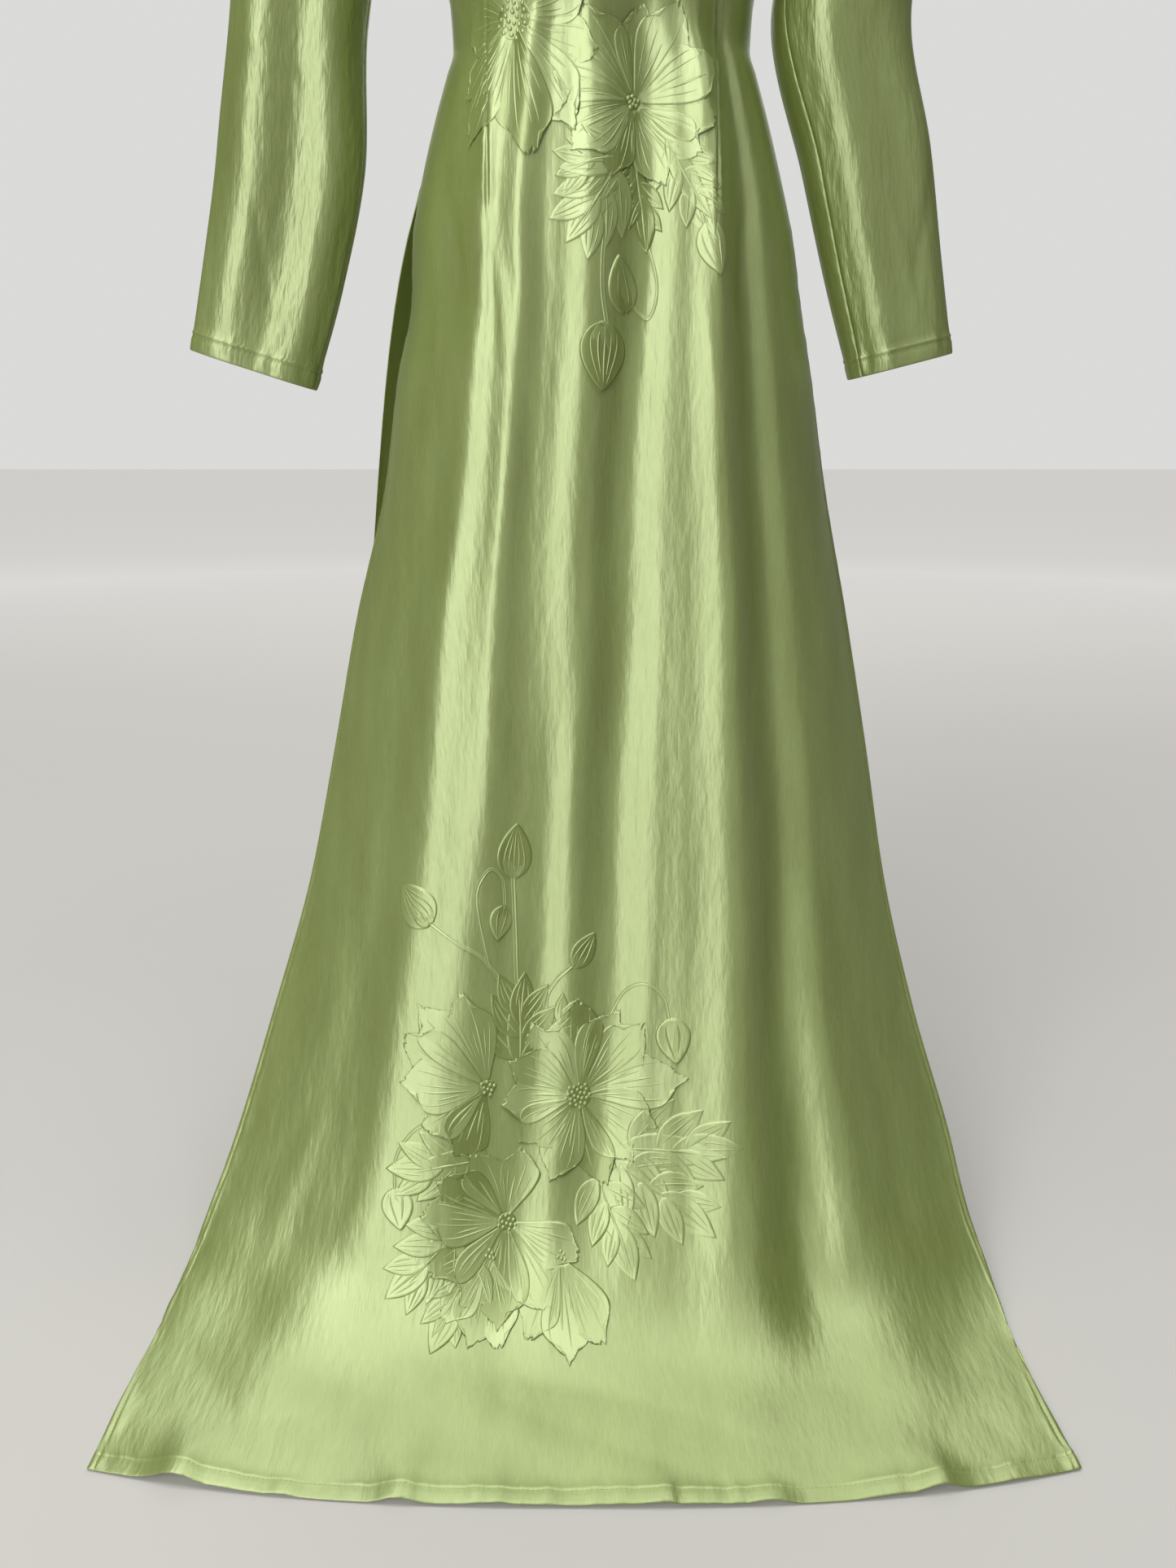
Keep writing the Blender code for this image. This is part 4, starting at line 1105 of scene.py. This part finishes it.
def upper_spray(relief):
    """The spray on the waist: two flowers, leaves and hanging buds."""
    stem(relief, (0.010, 0.010), (0.002, 0.050), (0.000, 0.084), (0.004, 0.112))
    stem(relief, (0.018, 0.020), (0.034, 0.048), (0.044, 0.082), (0.038, 0.104), (0.026, 0.096),
         width=0.0028)
    stem(relief, (0.062, -0.020), (0.070, 0.016), (0.078, 0.044), width=0.0026)
    for at, heading, length, width, lines, shade in (
            ((0.003, 0.108), 356, 0.048, 0.038, 5, 2), ((0.020, 0.102), 190, 0.040, 0.026, 2, 0),
            ((0.079, 0.042), 18, 0.038, 0.024, 3, 1)):
        bud(relief, at, heading, length, width, lines, shade)
    for at, heading, length, width, pairs, bend, shade in (
            ((0.016, 0.000), 322, 0.078, 0.056, 3, 0.08, 1),
            ((0.020, -0.004), 288, 0.062, 0.046, 3, -0.06, 0),
            ((0.026, -0.010), 8, 0.078, 0.036, 3, 0.05, 2), ((0.050, -0.016), 26, 0.086, 0.044, 3, 0.08, 0)):
        leaf(relief, at, heading, length, width, pairs, shade, bend)
    flower(relief, (-0.064, -0.090), (
        (64, 0.060, 0.040, 0), (110, 0.056, 0.040, 1), (160, 0.054, 0.042, 0), (212, 0.052, 0.040, 1),
        (268, 0.046, 0.040, 0), (310, 0.062, 0.036, 0), (36, 0.080, 0.042, 1), (336, 0.084, 0.036, 0),
        (4, 0.086, 0.046, 2)), 26, 0.013)
    flower(relief, (0.026, -0.038), (
        (150, 0.066, 0.044, 1), (212, 0.066, 0.042, 0), (180, 0.058, 0.040, 1), (118, 0.064, 0.044, 1),
        (246, 0.062, 0.042, 1), (278, 0.056, 0.038, 0), (308, 0.054, 0.036, 1), (82, 0.058, 0.040, 0),
        (50, 0.056, 0.036, 1), (20, 0.054, 0.032, 0), (340, 0.050, 0.032, 2)), 8, 0.005)


# Sewing: rows of stitches a little inside each hem

def even_route(cloth, across, down, spacing):
    """Flat places spacing apart, in real metres, along a route of flat places."""
    spots, _ = cloth.place(across, down)
    run = np.concatenate(([0.0], np.cumsum(np.linalg.norm(np.diff(spots, axis=0), axis=1))))
    wanted = np.arange(spacing / 2, run[-1], spacing)
    return np.interp(wanted, run, across), np.interp(wanted, run, down)


def stitch_row(relief, across, down, shade=0):
    """Adds stitches along a route of flat places, each a low bead with pointed ends."""
    across, down = even_route(relief.cloth, across, down, STITCH["pitch"])
    spots, _ = relief.cloth.place(across, down)
    along = np.stack((np.gradient(across), np.gradient(down)), axis=1)
    along *= (STITCH["length"] / STITCH["pitch"]) / 2
    side = np.stack((along[:, 1], -along[:, 0]), axis=1)
    side *= STITCH["radius"] / np.linalg.norm(side, axis=1, keepdims=True)
    ends = np.array((-1.0, -0.7, 0.0, 0.7, 1.0))[:, None]
    round_it = np.array((-1.0, 0.0, 1.0))[None, :]
    full = np.sqrt(1 - 0.97 * ends ** 2)
    for k in range(len(across)):
        relief.add(across[k] + along[k, 0] * ends + side[k, 0] * round_it * full,
                   down[k] + along[k, 1] * ends + side[k, 1] * round_it * full,
                   -0.00005 + STITCH["radius"] * 1.6 * (1 - round_it ** 2) * full, shade)


def panel_stitches(name, cloth):
    """The stitches of a panel's side hems below the slits and of its bottom hem."""
    relief = Relief(cloth)
    inset = STITCH_LINE * SIDE_HEM
    down = np.linspace(0.004, cloth.down[-1] - 0.001, 400)
    for edge, inward in ((0, inset), (-1, -inset)):
        stitch_row(relief, np.interp(down, cloth.down, cloth.across[:, edge]) + inward, down)
    level = cloth.down[-1] - STITCH_LINE * BOTTOM_HEM
    half = np.linspace(-1, 1, 400)
    widest = [np.interp(level, cloth.down, cloth.across[:, edge]) for edge in (-1, 0)]
    stitch_row(relief, np.where(half > 0, half * widest[0], -half * widest[1]) * 0.992, level + 0 * half)
    return relief.make(name, (THREAD_WITH_PAINTED_SHADE,))


def cuff_stitches(name, cloth):
    """The stitches round a cuff's hem."""
    relief = Relief(cloth)
    level = cloth.down[-1] - STITCH_LINE * CUFF_HEM
    share = np.linspace(0.005, 0.995, 200)
    ends = [np.interp(level, cloth.down, cloth.across[:, edge]) for edge in (0, -1)]
    stitch_row(relief, ends[0] + (ends[1] - ends[0]) * share, level + 0 * share)
    return relief.make(name, (THREAD_WITH_PAINTED_SHADE,))


front = make_panel("front", -1, FRONT_FLAP, FRONT_FOLDS, False)
back = make_panel("back", 1, BACK_FLAP, BACK_FOLDS, True)
sleeve_right = make_sleeve("sleeve_right", False)
sleeve_left = make_sleeve("sleeve_left", True)
collar = make_collar()
CLOTHS = {"front": front, "back": back, "sleeve_right": sleeve_right, "sleeve_left": sleeve_left}
FACES = {"front": SATIN, "back": SATIN, "sleeve_right": SLEEVE_SATIN, "sleeve_left": SLEEVE_SATIN}
SHELLS = {name: cloth_object(name + "_satin", cloth.grid, cloth.flat(), cloth.flip, CLOTH,
                             (FACES[name], REVERSE_PAINTED_LIGHT))
          for name, cloth in CLOTHS.items()}

sprays = Relief(front)
lower_spray(sprays)
LOWER_SPRAY = sprays.make("lower_spray", EMBOSS)
sprays = Relief(front)
upper_spray(sprays)
UPPER_SPRAY = sprays.make("upper_spray", EMBOSS)
STITCHES = {
    "front": panel_stitches("front_stitches", front),
    "back": panel_stitches("back_stitches", back),
    "sleeve_right": cuff_stitches("sleeve_right_stitches", sleeve_right),
    "sleeve_left": cuff_stitches("sleeve_left_stitches", sleeve_left),
}

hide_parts("collar")
for name, shell in SHELLS.items():
    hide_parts(name)


# The floor, lights and camera

def make_floor():
    """A plain pale floor that the two panels lie on, glowing more strongly further out as painted light."""
    bpy.ops.mesh.primitive_plane_add(size=40, location=(0, 0, -NECK_HEIGHT))
    floor = bpy.context.object
    floor.name = "floor"
    material, tree = new_material("floor")
    shader = tree.nodes["Principled BSDF"]
    shader.inputs["Base Color"].default_value = (0.33, 0.32, 0.30, 1.0)
    shader.inputs["Roughness"].default_value = 0.9
    shader.inputs["Emission Color"].default_value = (0.80, 0.78, 0.75, 1.0)
    place = add_node(tree, "ShaderNodeNewGeometry")
    distance = add_node(tree, "ShaderNodeVectorMath", operation="LENGTH")
    tree.links.new(place.outputs["Position"], distance.inputs[0])
    # Painted light: the glow is weak near the tunic and grows with distance, so the far floor, which the
    # lamps hardly reach, stays pale.
    tree.links.new(remap(tree, distance.outputs["Value"], 1.5, 5.0, 0.10, 0.75),
                   shader.inputs["Emission Strength"])
    floor.data.materials.append(material)


def add_light(name, place, target, wide, high, power):
    """A soft rectangular light that faces a target."""
    data = bpy.data.lights.new(name, "AREA")
    data.shape = "RECTANGLE"
    data.size = wide
    data.size_y = high
    data.energy = power
    light = bpy.data.objects.new(name, data)
    light.location = place
    light.rotation_euler = (Vector(target) - Vector(place)).to_track_quat("-Z", "Y").to_euler()
    bpy.context.scene.collection.objects.link(light)


def make_world():
    """A pale, even surround."""
    world = bpy.data.worlds.new("studio")
    bpy.context.scene.world = world
    world.use_nodes = True
    tree = world.node_tree
    seen = tree.nodes["Background"]
    seen.inputs["Color"].default_value = (0.83, 0.83, 0.82, 1.0)
    seen.inputs["Strength"].default_value = 0.85
    fill = add_node(tree, "ShaderNodeBackground", Color=(0.80, 0.82, 0.84, 1.0), Strength=0.09)
    path = add_node(tree, "ShaderNodeLightPath")
    mix = add_node(tree, "ShaderNodeMixShader")
    tree.links.new(path.outputs["Is Camera Ray"], mix.inputs["Fac"])
    tree.links.new(fill.outputs["Background"], mix.inputs[1])
    tree.links.new(seen.outputs["Background"], mix.inputs[2])
    tree.links.new(mix.outputs["Shader"], tree.nodes["World Output"].inputs["Surface"])


def make_camera():
    """The photograph's viewpoint: low over the floor, looking a little down."""
    data = bpy.data.cameras.new("camera")
    data.lens = 27.03
    data.sensor_width = 36.0
    camera = bpy.data.objects.new("camera", data)
    camera.location = (-0.0102, -1.014, 0.638 - NECK_HEIGHT)
    camera.rotation_euler = (math.radians(73.3), 0.0, 0.0)
    bpy.context.scene.collection.objects.link(camera)
    bpy.context.scene.camera = camera


make_floor()
make_world()
add_light("key_softbox", (-1.45, -2.25, 0.5), (0.0, 0.0, -0.6), 1.5, 2.8, 84)
add_light("back_softbox", (0.2, 3.0, 1.6), (0.0, 0.0, -1.0), 3.8, 2.8, 80)
add_light("top_softbox", (0.0, -0.3, 2.0), (0.0, -0.3, -1.0), 3.2, 1.8, 120)
make_camera()
bpy.context.scene.view_settings.view_transform = "Standard"
